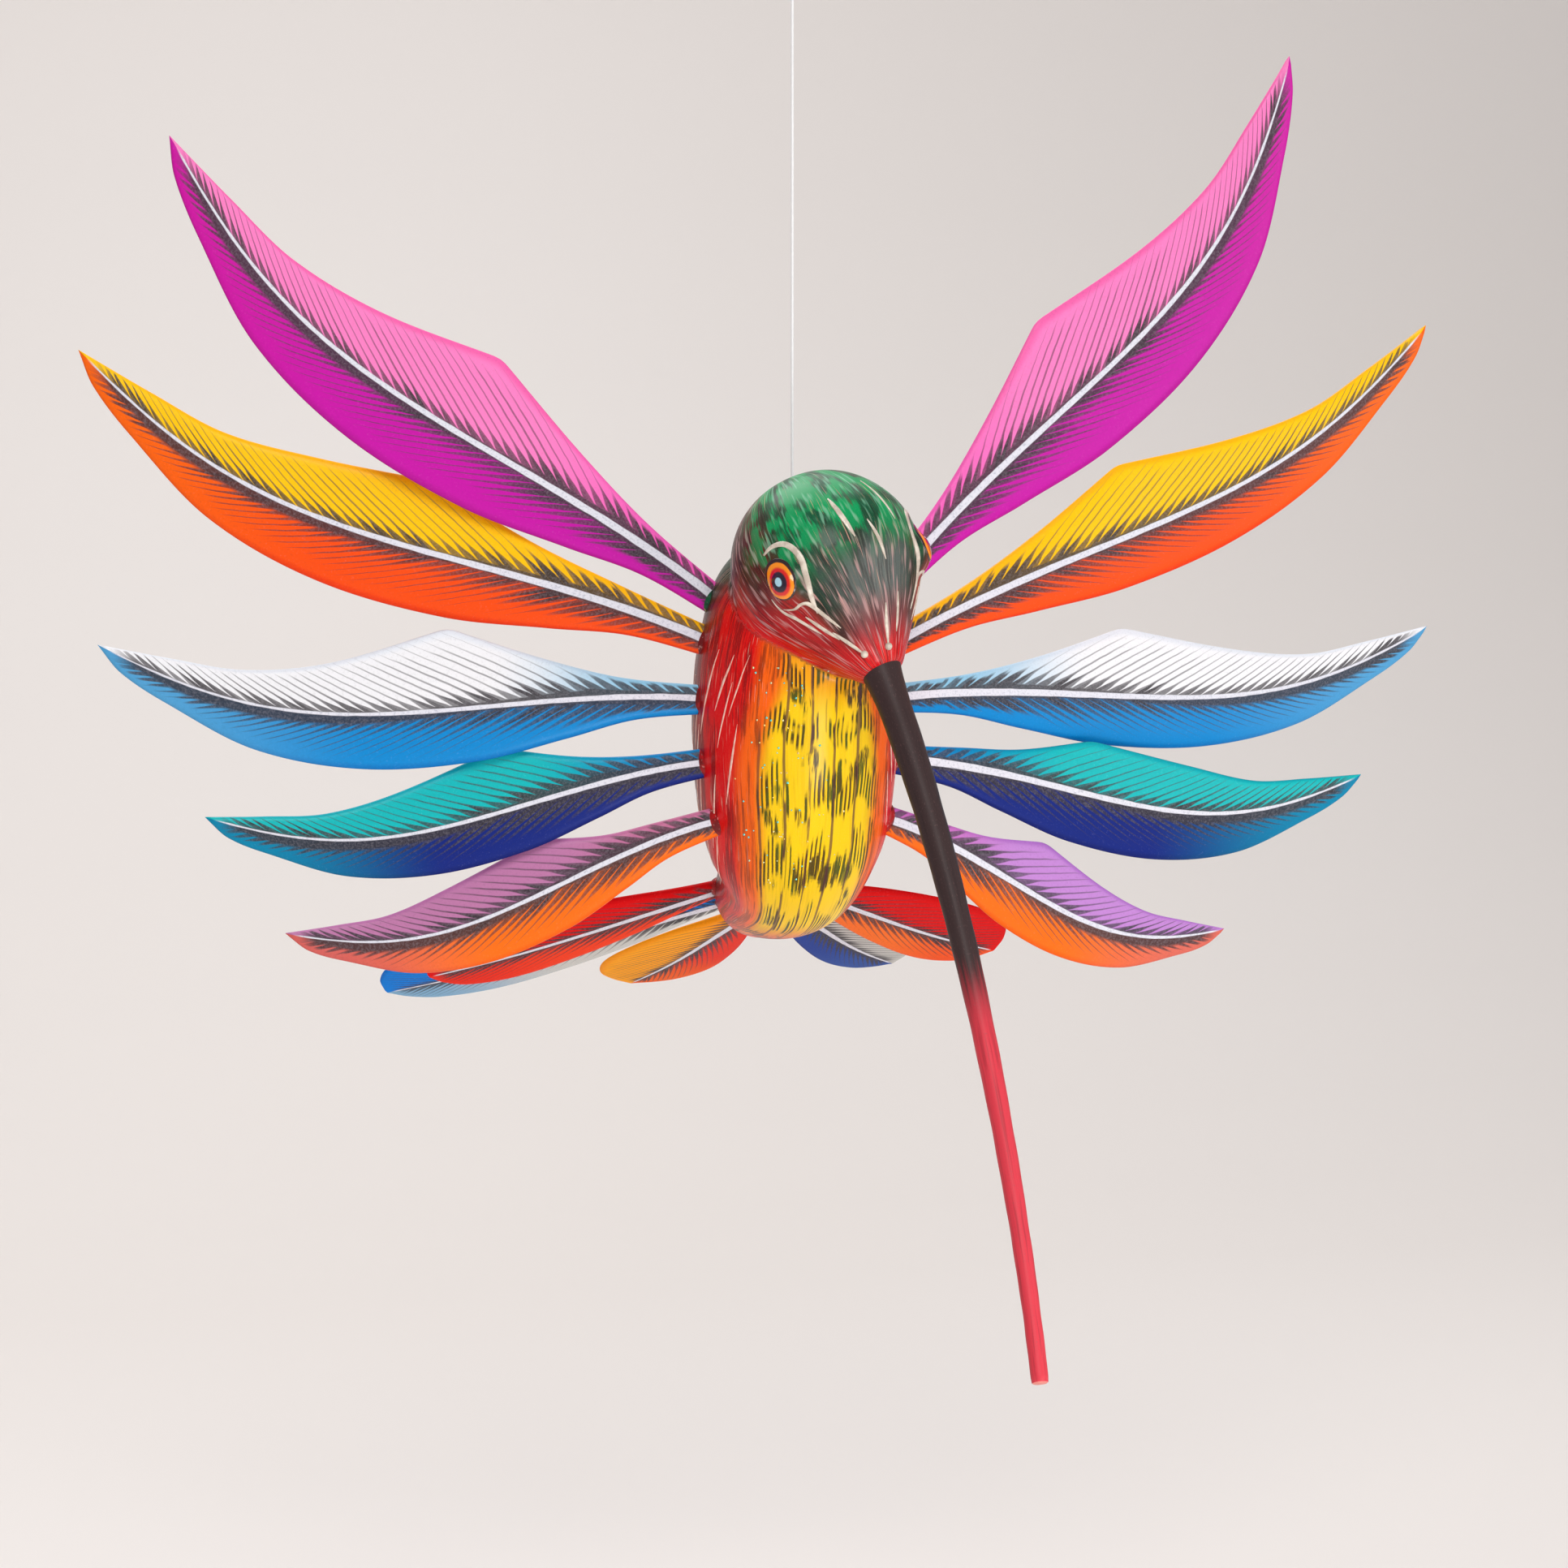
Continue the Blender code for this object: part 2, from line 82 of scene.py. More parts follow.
TAIL = (
    ("tail_left_outer", (-8.0, 29.5, -22.5), (-62.4, 57.0, -41.4), 21.0),
    ("tail_left_inner", (-5.2, 34.0, -25.2), (-64.8, 95.0, -49.0), 23.0),
    ("tail_centre", (0.0, 36.5, -28.0), (-11.0, 98.0, -49.0), 24.0),
    ("tail_right_inner", (5.2, 34.0, -25.2), (47.0, 94.0, -46.0), 20.0),
    ("tail_right_outer", (8.0, 29.5, -22.5), (58.3, 57.0, -39.5), 21.0),
)
TAIL_PITCH, TAIL_THICKNESS, TAIL_STEM = 38.0, 2.2, 4.0
# Collars as smoothed: half sizes along, across and through the feather, and how far out the middle is
COLLAR_WING, COLLAR_TAIL = (2.2, 3.2, 2.0, -1.3), (2.4, 2.6, 2.0, -1.3)
TORSO = (
    (0.0, 35.5, -25.2, 6.8), (0.0, 29.5, -23.8, 9.3), (2.2, 15.0, -17.4, 14.2), (1.3, 7.6, -9.0, 17.9),
    (0.3, 3.2, 3.0, 19.5), (0.0, 1.0, 16.0, 20.0), (0.0, -1.5, 28.0, 19.1), (0.0, -4.5, 38.0, 16.6),
    (0.0, -8.0, 44.8, 9.6),
)
HEAD_MIDDLE, BEAK_ROOT = np.array((1.5, -15.0, 42.0)), np.array((9.0, -27.0, 22.4))
HEAD = (
    (-17.6, 3.5), (-15.6, 9.2), (-11.5, 14.0), (-5.5, 17.3), (0.0, 18.2),
    (6.0, 17.0), (12.5, 13.0), (18.5, 8.6), (24.2, 4.2),
)
BEAK_HANDLES, BEAK_TIP = ((18.7, -50.0, -16.7), (20.5, -76.0, -73.0)), (19.7, -88.0, -98.7)
BEAK_RADII = (3.3, 1.55)
LINE_RADIUS, KNOT_RADIUS = 0.3, 1.0
EYE_HEIGHT, EYE_RADIUS, EYE_WIRE, EYE_SHANK = 50.6, 2.2, 1.1, 12.0



def unit(vectors):
    return vectors / np.linalg.norm(vectors, axis=-1, keepdims=True)


# The head's own directions: towards the beak, up through the crown's middle line, and to its right
HEAD_AXIS = unit(BEAK_ROOT - HEAD_MIDDLE)
CROWN_TURN = 22.0                   # degrees that the face is turned about the beak's axis


def head_directions():
    up = unit(np.array((0.0, 0.0, 1.0)) - HEAD_AXIS[2] * HEAD_AXIS)
    side = np.cross(HEAD_AXIS, up)
    turn = math.radians(CROWN_TURN)
    crown = up * math.cos(turn) + side * math.sin(turn)
    return crown, np.cross(HEAD_AXIS, crown)


HEAD_CROWN, HEAD_SIDE = head_directions()


# ---------------- mesh helpers (millimetres, bird frame)
def smooth_values(xs, ys, at):
    """A smooth curve through (xs, ys), read at the places in at."""
    xs, ys, at = np.asarray(xs, float), np.asarray(ys, float), np.asarray(at, float)
    slopes = np.gradient(ys, xs)
    slopes[1:-1] = (ys[2:] - ys[:-2]) / (xs[2:] - xs[:-2])
    index = np.clip(np.searchsorted(xs, at) - 1, 0, len(xs) - 2)
    span = xs[index + 1] - xs[index]
    u = np.clip((at - xs[index]) / span, 0, 1)
    return ((2 * u ** 3 - 3 * u ** 2 + 1) * ys[index] + (u ** 3 - 2 * u ** 2 + u) * span * slopes[index]
            + (3 * u ** 2 - 2 * u ** 3) * ys[index + 1] + (u ** 3 - u ** 2) * span * slopes[index + 1])


def lengths_to(points):
    """The distance along a path from its start to each of its points."""
    return np.concatenate(([0], np.cumsum(np.linalg.norm(np.diff(points, axis=0), axis=1))))


def smooth_path(points, count):
    """A smooth path through points, evenly spread by length."""
    points = np.asarray(points, float)
    steps = lengths_to(points)
    at = np.linspace(0, steps[-1], count)
    return np.stack([smooth_values(steps, values, at) for values in points.T], axis=1)


def smoothstep(low, high, value):
    u = np.clip((value - low) / (high - low), 0, 1)
    return u * u * (3 - 2 * u)


def linked(name, data):
    """A new object in the scene."""
    item = bpy.data.objects.new(name, data)
    bpy.context.scene.collection.objects.link(item)
    return item


def add_values(mesh, values):
    """Gives each vertex a number under each name, for the shader."""
    for name, numbers in values.items():
        layer = mesh.attributes.new(name, "FLOAT", "POINT")
        layer.data.foreach_set("value", np.asarray(numbers, np.float32))


def new_piece(name, vertices, faces, values=None, offset=BIRD_ORIGIN):
    """A mesh object from millimetres, moved by offset."""
    mesh = bpy.data.meshes.new(name)
    places = np.asarray(vertices, float) * MM + np.array(offset)
    mesh.from_pydata(places.tolist(), [], faces)
    mesh.shade_smooth()
    add_values(mesh, values or {})
    return linked(name, mesh)


def finished(piece, paint, body, replaced=None):
    """Gives a piece its material, the body it moves with, and the CAD piece it stands for."""
    piece.data.materials.append(paint)
    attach(piece, body)
    if replaced:
        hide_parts(replaced)
    return piece


def ring_faces(count, sides, closed=False):
    """Faces between neighbouring rings of vertices. Rings that aren't closed get a cap at each end."""
    faces = []
    for ring in range(count if closed else count - 1):
        first, second = ring * sides, (ring + 1) % count * sides
        for k in range(sides):
            n = (k + 1) % sides
            faces.append((first + k, first + n, second + n, second + k))
    if not closed:
        faces.append(tuple(range(sides))[::-1])
        faces.append(tuple((count - 1) * sides + k for k in range(sides)))
    return faces


def tube(path, radii, sides, flat=None, closed=False):
    """Rings round a path. Flat gives the rings of a brush stroke: their normals, half widths and heights."""
    path = np.asarray(path, float)
    radii = np.broadcast_to(radii, len(path))
    if closed:
        tangents = np.roll(path, -1, axis=0) - np.roll(path, 1, axis=0)
    else:
        tangents = np.gradient(path, axis=0)
    tangents = unit(tangents)
    side = np.cross(tangents[0], (0.123, 0.456, 0.881))
    rings = []
    for index, tangent in enumerate(tangents):
        if flat is not None:
            normal = unit(flat[0][index] - tangent * (flat[0][index] @ tangent))
            across, up = np.cross(tangent, normal) * flat[1][index], normal * flat[2][index]
        else:
            side = unit(side - tangent * (side @ tangent))
            across, up = side * radii[index], np.cross(tangent, side) * radii[index]
        turns = np.arange(sides) * 2 * math.pi / sides
        rings.append(path[index] + np.outer(np.cos(turns), across) + np.outer(np.sin(turns), up))
    return np.concatenate(rings), ring_faces(len(path), sides, closed)


def joined(parts):
    """Several (vertices, faces) as one."""
    vertices, faces, start = [], [], 0
    for part_vertices, part_faces in parts:
        vertices.append(part_vertices)
        faces += [tuple(start + k for k in face) for face in part_faces]
        start += len(part_vertices)
    return np.concatenate(vertices), faces


def ball(middle, half_sizes, segments=28, rings=16):
    vertices, faces = [np.array((0, 0, 1.0))], []
    for ring in range(1, rings):
        polar = math.pi * ring / rings
        for k in range(segments):
            angle = 2 * math.pi * k / segments
            vertices.append(np.array((math.sin(polar) * math.cos(angle),
                                      math.sin(polar) * math.sin(angle), math.cos(polar))))
    vertices.append(np.array((0, 0, -1.0)))
    last = len(vertices) - 1
    for k in range(segments):
        n = (k + 1) % segments
        faces.append((0, 1 + k, 1 + n))
        faces.append((last, last - segments + n, last - segments + k))
    for ring in range(rings - 2):
        first = 1 + ring * segments
        for k in range(segments):
            n = (k + 1) % segments
            faces.append((first + k, first + segments + k, first + segments + n, first + n))
    return np.array(vertices) * np.array(half_sizes) + np.array(middle), faces


# ---------------- shader helpers
def linear(red, green, blue):
    """A colour given as 0 to 255 screen values, for a shader."""
    def channel(value):
        value /= 255
        return value / 12.92 if value <= 0.04045 else ((value + 0.055) / 1.055) ** 2.4
    return (channel(red), channel(green), channel(blue), 1.0)


class Value:
    """A shader value that adds, multiplies and so on like a number."""

    def __init__(self, paint, socket):
        self.paint, self.socket = paint, socket

    def __add__(self, other):
        return self.paint.math("ADD", self, other)

    def __sub__(self, other):
        return self.paint.math("SUBTRACT", self, other)

    def __rsub__(self, other):
        return self.paint.math("SUBTRACT", other, self)

    def __mul__(self, other):
        return self.paint.math("MULTIPLY", self, other)

    def __truediv__(self, other):
        return self.paint.math("DIVIDE", self, other)

    def __abs__(self):
        return self.paint.math("ABSOLUTE", self)


class Paint:
    """A material's nodes, built by short calls."""

    def __init__(self, name):
        self.material = bpy.data.materials.new(name)
        self.material.use_nodes = True
        self.tree = self.material.node_tree
        self.shader = self.tree.nodes["Principled BSDF"]

    def feed(self, socket, value):
        if isinstance(value, Value):
            self.tree.links.new(value.socket, socket)
        else:
            socket.default_value = value

    def node(self, kind, output, inputs, **settings):
        """One output of a new node that has been given its inputs and settings."""
        node = self.tree.nodes.new(f"ShaderNode{kind}")
        for key, value in settings.items():
            setattr(node, key, value)
        for key, value in inputs.items():
            self.feed(node.inputs[key], value)
        return Value(self, node.outputs[output])

    def attribute(self, name, output="Fac"):
        return self.node("Attribute", output, {}, attribute_name=name)

    def math(self, operation, first, second=0.0, clamp=False):
        return self.node("Math", 0, {0: first, 1: second}, operation=operation, use_clamp=clamp)

    def step(self, value, low, high):
        """0 below low and 1 above high, smoothly. Low may be above high where both are numbers."""
        falling = not isinstance(low, Value) and not isinstance(high, Value) and low > high
        if falling:
            low, high = high, low
        inputs = {"Value": value, "From Min": low, "From Max": high, "To Min": float(falling),
                  "To Max": float(not falling)}
        return self.node("MapRange", "Result", inputs, interpolation_type="SMOOTHSTEP")

    def vector(self, x, y, z=0.0):
        return self.node("CombineXYZ", 0, {0: x, 1: y, 2: z})

    def noise(self, vector, scale=1.0, detail=2.0, roughness=0.5):
        inputs = {"Vector": vector, "Scale": scale, "Detail": detail, "Roughness": roughness}
        return self.node("TexNoise", "Fac", inputs)

    def cloud(self, scale, detail):
        return self.noise(self.attribute("position", "Vector"), scale, detail)

    def random(self, vector):
        return self.node("TexWhiteNoise", "Value", {"Vector": vector})

    def mix(self, share, first, second):
        return self.node("Mix", 2, {0: share, 6: first, 7: second}, data_type="RGBA")

    def bump(self, height, strength, distance):
        inputs = {"Height": height, "Strength": strength, "Distance": distance}
        self.feed(self.shader.inputs["Normal"], self.node("Bump", 0, inputs))

    def finish(self, colour, roughness=0.4, coat=0.5, coat_roughness=0.12, metallic=0.0, specular=0.3):
        for name, value in (("Base Color", colour), ("Roughness", roughness), ("Coat Weight", coat),
                            ("Coat Roughness", coat_roughness), ("Metallic", metallic),
                            ("Specular IOR Level", 0.5 if metallic else specular)):
            self.feed(self.shader.inputs[name], value)
        return self.material


CHARCOAL = linear(52, 48, 52)
PALE = linear(226, 226, 236)


def feather_paint(name, colours, seed, band_share=1.0, shaft_width=0.82):
    """White shaft, charcoal band, barbs that taper into it, and a deeper rim along each edge."""
    upper, lower, upper_rim, lower_rim, lower_tip, upper_root = (linear(*colour) for colour in colours)
    p = Paint(name)
    s, v = p.attribute("s"), p.attribute("v")
    d, x = p.attribute("d"), p.attribute("x")
    away = abs(d)
    is_upper = p.step(d, -0.02, 0.02)
    wobble = p.noise(p.vector(x * 0.3, d * 0.35, seed), 1.0, 2.0) - 0.5
    grain = p.noise(p.vector(x * 2.2, d * 2.2, seed), 1.0, 3.0, 0.7)
    edge = abs(v)
    room = away / p.math("MAXIMUM", edge, 0.03)
    before_tip = p.step(s, 0.985, 0.93)

    def half(slope, pitch, band_start, band_end, band_low, taper, thin, reach):
        """How dark the barb lines are on one side of the shaft, 0 to 1."""
        start = x - away * (s * (0.9 * slope) + slope)
        barb = (start + wobble * 0.5) / pitch
        line = abs(p.math("FRACT", barb) * 2.0 - 1.0)
        random = p.random(p.vector(p.math("FLOOR", barb), seed, 3.0))
        band = p.step(s, band_end, 0.0) * (band_start * band_share) + band_low
        band = p.math("MINIMUM", band + random * 0.5, room * 0.4)
        beyond = away - band
        spike = p.step(beyond * (s * 1.5 + 0.6), taper, -0.2)
        width = spike * 0.64 + (random * 0.14 + thin) + edge * -0.18
        dark = p.math("MULTIPLY", line - (1.0 - width - 0.1), 5.0, clamp=True)
        uneven = edge + (random - 0.5) * 0.24
        fade = p.step(uneven, reach + 0.08, reach - 0.1) * (p.step(beyond, 4.0, 0.5) * 0.3 + 0.7)
        solid = p.step(beyond, 0.25, -0.25) * p.step(edge, 0.8, 0.62)
        shade = dark * p.math("MAXIMUM", solid, fade * (random * 0.25 + 0.8))
        return p.math("MAXIMUM", shade, solid) * before_tip

    near_tip = p.step(s, 0.25, 0.62) * p.step(s, 0.99, 0.82)
    dark_upper = half(1.35, 2.75, 1.9, 0.60, 0.25, 3.2, 0.24, 0.86)
    dark_lower = half(1.45, 2.65, 1.1, 0.60, 0.30, 6.0, 0.24, 0.68)
    low_band = p.step(away, near_tip * (1.25 * band_share) + 0.35, near_tip * (1.8 * band_share) + 0.75)
    dark_lower = p.math("MAXIMUM", dark_lower, (1.0 - low_band) * before_tip)
    dark = is_upper * dark_upper + (1.0 - is_upper) * dark_lower

    rim = p.step(edge, 0.86, 0.97) * 0.55
    upper_colour = p.mix(p.step(s, 0.36, 0.08), p.mix(rim, upper, upper_rim), upper_root)
    lower_colour = p.mix(p.step(s, 0.52, 0.92) * 0.9, p.mix(rim, lower, lower_rim), lower_tip)
    colour = p.mix(is_upper, lower_colour, upper_colour)
    colour = p.mix(p.step(grain, 0.5, 0.72) * 0.22, colour, p.mix(0.55, colour, CHARCOAL))
    colour = p.mix(p.step(grain, 0.42, 0.28) * 0.04, colour, PALE)
    # The charcoal of the barb lines and band is flecked with a lighter grey where the noise is high. This is
    # painted sheen of the varnish over the charcoal paint.
    colour = p.mix(dark * 0.93, colour, p.mix(p.step(grain, 0.4, 0.7), CHARCOAL, linear(92, 88, 94)))
    shaft = (1.0 - s * 0.8) * shaft_width
    outside = away + wobble * 0.25 - shaft
    on_shaft = p.step(outside, 0.1, -0.1) * p.step(s, 0.985, 0.96)
    on_blade = p.step(edge, 0.93, 0.80)
    on_shaft = on_shaft * p.math("MAXIMUM", on_blade, p.step(s, 0.9, 0.8))
    shaft_colour = p.mix(p.step(grain, 0.45, 0.75), PALE, linear(188, 190, 204))
    colour = p.mix(on_shaft, colour, shaft_colour)
    p.bump(on_shaft * 0.8 + dark * 0.35 + grain * 0.4, 0.5, 0.10 * MM)
    if band_share < 1:
        return p.finish(colour, 0.6, 0.0, specular=0.08)
    return p.finish(colour, 0.45, 0.09, 0.16, specular=0.12)


# ---------------- camera, lights, floor
CAMERA_AZIMUTH, CAMERA_ELEVATION = math.radians(-15), math.radians(4)
CAMERA_DISTANCE = 0.75
CAMERA_VIEW = math.radians(22.72)   # the whole width and height of the square picture
AIM_LEFT = 2.65 * MM                # the picture's middle lies this far to the bird's right-hand side


def make_camera():
    # The paint colours are given as screen values, which the Standard view shows unchanged
    bpy.context.scene.view_settings.view_transform = "Standard"
    right = Vector((math.cos(CAMERA_AZIMUTH), math.sin(CAMERA_AZIMUTH), 0))
    back = Vector((math.sin(CAMERA_AZIMUTH) * math.cos(CAMERA_ELEVATION),
                   -math.cos(CAMERA_AZIMUTH) * math.cos(CAMERA_ELEVATION), math.sin(CAMERA_ELEVATION)))
    aim = BIRD_ORIGIN - right * AIM_LEFT
    data = bpy.data.cameras.new("camera")
    data.sensor_width = 36
    data.lens = data.sensor_width / 2 / math.tan(CAMERA_VIEW / 2)
    data.clip_start, data.clip_end = 0.01, 20
    camera = linked("camera", data)
    camera.location = aim + back * CAMERA_DISTANCE
    camera.rotation_euler = back.to_track_quat("Z", "Y").to_euler()
    bpy.context.scene.camera = camera


def make_light(name, place, size, power, colour=(1, 1, 1)):
    data = bpy.data.lights.new(name, "AREA")
    data.shape = "DISK"
    data.size = size
    data.energy = power
    data.color = colour
    light = linked(name, data)
    light.location = BIRD_ORIGIN + Vector(place)
    light.rotation_euler = Vector(place).to_track_quat("Z", "Y").to_euler()


def make_stage():
    """A pale floor that sweeps up into a backdrop, soft lights and a pale sky."""
    floor_height = cad_bounds[0][2] - 0.11
    profile = [(-2.2, 0.0), (0.55, 0.0)]
    for angle in np.linspace(0.15, math.pi / 2, 10):
        profile.append((0.55 + 0.6 * math.sin(angle), 0.6 - 0.6 * math.cos(angle)))
    profile += [(1.15, 2.4)]
    vertices = [(side, y, floor_height + z) for y, z in profile for side in (-3.0, 3.0)]
    faces = [(2 * k, 2 * k + 1, 2 * k + 3, 2 * k + 2) for k in range(len(profile) - 1)]
    mesh = bpy.data.meshes.new("backdrop")
    mesh.from_pydata(vertices, [], faces)
    mesh.shade_smooth()
    backdrop = linked("backdrop", mesh)
    p = Paint("backdrop")
    cloud = p.cloud(1.4, 1.0)
    colour = p.mix(cloud, linear(226, 219, 214), linear(236, 231, 228))
    mesh.materials.append(p.finish(colour, 0.9, 0.0))
    world = bpy.data.worlds.new("sky")
    bpy.context.scene.world = world
    world.use_nodes = True
    sky = world.node_tree.nodes["Background"]
    sky.inputs["Color"].default_value = (0.95, 0.96, 1.0, 1.0)
    sky.inputs["Strength"].default_value = 0.35
    make_light("key", (-0.25, -1.1, 0.75), 0.6, 7.3, (1.0, 0.98, 0.95))
    make_light("face_gloss", (0.068, -0.317, -0.149), 0.10, 0.26)
    make_light("fill", (0.9, -0.8, 0.1), 0.8, 4.0)
    make_light("rim", (-0.3, 0.5, 0.9), 0.6, 2.5)
    make_light("wash", (0.0, 0.45, 1.0), 1.2, 7.0)


# ---------------- the line, its knots and the screw eye
def nylon_paint():
    p = Paint("nylon")
    cloud = p.cloud(900.0, 2.0)
    colour = p.mix(cloud, linear(240, 240, 242), linear(254, 254, 254))
    p.shader.inputs["Transmission Weight"].default_value = 0.05
    p.shader.inputs["IOR"].default_value = 1.5
    return p.finish(colour, 0.30, 0.8, 0.1, specular=0.5)


def loop_shape(name, round_at_top):
    """A drop-shaped loop of line in the XZ plane that fills its CAD piece's box."""
    low, high = (np.array(corner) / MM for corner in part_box(name))
    width = high[0] - low[0] - 2 * LINE_RADIUS
    round_at, neck_at = low[2] + LINE_RADIUS, high[2] - LINE_RADIUS
    if round_at_top:
        round_at, neck_at = neck_at, round_at
    count = 72
    points = []
    for index in range(count):
        turn = 2 * math.pi * index / count
        part = (1 - math.cos(turn)) / 2
        spread = math.sin(math.pi * (1 - part) ** 0.8 / 2) ** 0.5 if part < 1 else 0.0
        points.append((width / 2 * math.sin(turn) * spread, 0, round_at + (neck_at - round_at) * part))
    return tube(points, LINE_RADIUS, 12, closed=True)


def knot_shape(name):
    """Three and a half turns of line wound on a straight core, in the middle of its CAD piece."""
    middle = (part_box(name)[0][2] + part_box(name)[1][2]) / MM / 2
    turns, count = 3.5, 90
    part = np.linspace(0, 1, count)
    angle = part * turns * 2 * math.pi
    radius = (KNOT_RADIUS - LINE_RADIUS) * np.sin(math.pi * np.clip(part, 0.12, 0.88)) ** 0.35
    height = middle + (part - 0.5) * (2 * KNOT_RADIUS - 2 * LINE_RADIUS)
    path = np.stack((radius * np.cos(angle), radius * np.sin(angle), height), axis=1)
    core = [(0, 0, middle + end * KNOT_RADIUS) for end in (-1, 0, 1)]
    return joined((tube(path, LINE_RADIUS, 10), tube(core, LINE_RADIUS * 1.05, 10)))


def make_line():
    """The line with its knots and loops, which keep the heights of their CAD pieces."""
    nylon = nylon_paint()
    low, high = (corner[2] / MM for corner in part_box("nylon_line"))
    for name, body, made, shape in (
        ("upper_knot", "upper_tie", "wound", knot_shape("upper_knot")),
        ("lower_knot", "lower_tie", "wound", knot_shape("lower_knot")),
        ("upper_loop", "hanger", "tied", loop_shape("upper_loop", True)),
        ("tie_loop", "eye_tie", "tied", loop_shape("tie_loop", False)),
    ):
        piece = new_piece(f"{name}_{made}", *shape, offset=Vector())
        finished(piece, nylon, body, name)

    count = 46
    data = bpy.data.curves.new("nylon_line_drawn", "CURVE")
    data.dimensions = "3D"
    data.bevel_depth = LINE_RADIUS * MM
    data.bevel_resolution = 3
    data.use_fill_caps = True
    spline = data.splines.new("POLY")
    spline.points.add(count - 1)
    for index, point in enumerate(spline.points):
        point.co = (0, 0, (low + (high - low) * index / (count - 1)) * MM, 1.0)
    line = finished(linked("nylon_line_drawn", data), nylon, "line", "nylon_line")


def make_screw_eye():
    """A bent wire ring on a shank whose thread shows above the wood."""
    eye_x, eye_y = -BIRD_ORIGIN.x / MM, -BIRD_ORIGIN.y / MM
    turns = np.radians(np.linspace(-75, 262, 60))
    ring = np.stack((np.full(60, eye_x), eye_y + EYE_RADIUS * np.cos(turns),
                     EYE_HEIGHT + EYE_RADIUS * np.sin(turns)), axis=1)
    neck = [(eye_x, eye_y, EYE_HEIGHT - EYE_RADIUS - 0.7), (eye_x, eye_y, EYE_HEIGHT - EYE_RADIUS - 2.0)]
    path = smooth_path(np.concatenate((ring, neck)), 80)
    wire = tube(path, EYE_WIRE / 2, 14)
    levels = np.arange(0, EYE_SHANK - 1.5, 0.12)
    shank = np.stack((np.full(len(levels), eye_x), np.full(len(levels), eye_y),
                      EYE_HEIGHT - EYE_RADIUS - 1.4 - levels), axis=1)
    threads = [0.58 + 0.14 * math.cos(level * 2 * math.pi / 0.9) for level in levels]
    eye = new_piece("screw_eye_bent", *joined((wire, tube(shank, threads, 14))))
    p = Paint("plated_steel")
    wear = p.cloud(1500.0, 3.0)
    colour = p.mix(p.step(wear, 0.4, 0.7), linear(176, 172, 164), linear(132, 126, 118))
    p.bump(wear, 0.2, 0.02 * MM)
    finished(eye, p.finish(colour, 0.32, 0.0, metallic=1.0), "bird", "screw_eye")


# ---------------- feathers
def axis_frame(place, along, across):
    x_axis = unit(np.asarray(along, float))
    z_axis = unit(np.cross(x_axis, np.asarray(across, float)))
    return np.asarray(place, float), np.stack((x_axis, np.cross(z_axis, x_axis), z_axis))


def placed(vertices, place, axes):
    return np.asarray(vertices) @ axes + place


def wing_edges(length, belly, shoulder, shoulder_at):
    half = WING_STEM / 2
    low = [(0.10, 0.16), (0.21, 0.44), (0.36, 0.80), (0.55, 1.0), (0.73, 0.88), (0.88, 0.44), (0.96, 0.13)]
    lower = [(-4.0, -half)] + [(s * length, -half * (1 - t) - belly * length * t) for s, t in low]
    upper = [(-4.0, half), (0.30 * shoulder_at * length, half),
             (0.62 * shoulder_at * length, 0.55 * shoulder * length),
             (shoulder_at * length, shoulder * length)]
    upper += [(s * length, t * length) for s, t in ((0.62, 0.004), (0.76, -0.020), (0.88, -0.012))]
    return lower + [(length, 0.0)], upper + [(length, 0.0)]


def tail_edges(length, width):
    half_stem, half = TAIL_STEM / 2, width / 2
    side = [(0.12, 0.22), (0.32, 0.62), (0.55, 0.92), (0.76, 1.0), (0.91, 0.72)]
    edge = [(-1.5, half_stem)] + [(s * length, half_stem + (half - half_stem) * t) for s, t in side]
    edge += [(0.975 * length, half * 0.40), (length, 0.0)]
    return [(x, -y) for x, y in edge], edge


# Places across a feather, from -1 at one edge to 1 at the other, closest together at the edges
QUARTER = np.linspace(0, math.pi / 2, 15)
ACROSS = np.concatenate((-np.cos(QUARTER)[:-1], np.sin(QUARTER)))


def cornered_values(xs, ys, corner, at, soften):
    """Two smooth curves that meet at the point numbered corner, where they are rounded over a little."""
    def sharp(places):
        return np.where(places < xs[corner], smooth_values(xs[:corner + 1], ys[:corner + 1], places),
                        smooth_values(xs[corner:], ys[corner:], places))
    fine = np.linspace(at[0], at[-1], 1200)
    window = max(3, int(soften / (fine[1] - fine[0])))
    weights = np.hanning(2 * window + 1)
    eased = np.convolve(np.pad(sharp(fine), window, mode="edge"), weights / weights.sum(), "valid")
    near = np.clip(1.5 - np.abs(at - xs[corner]) / (1.5 * soften), 0, 1)
    return sharp(at) * (1 - near) + np.interp(at, fine, eased) * near


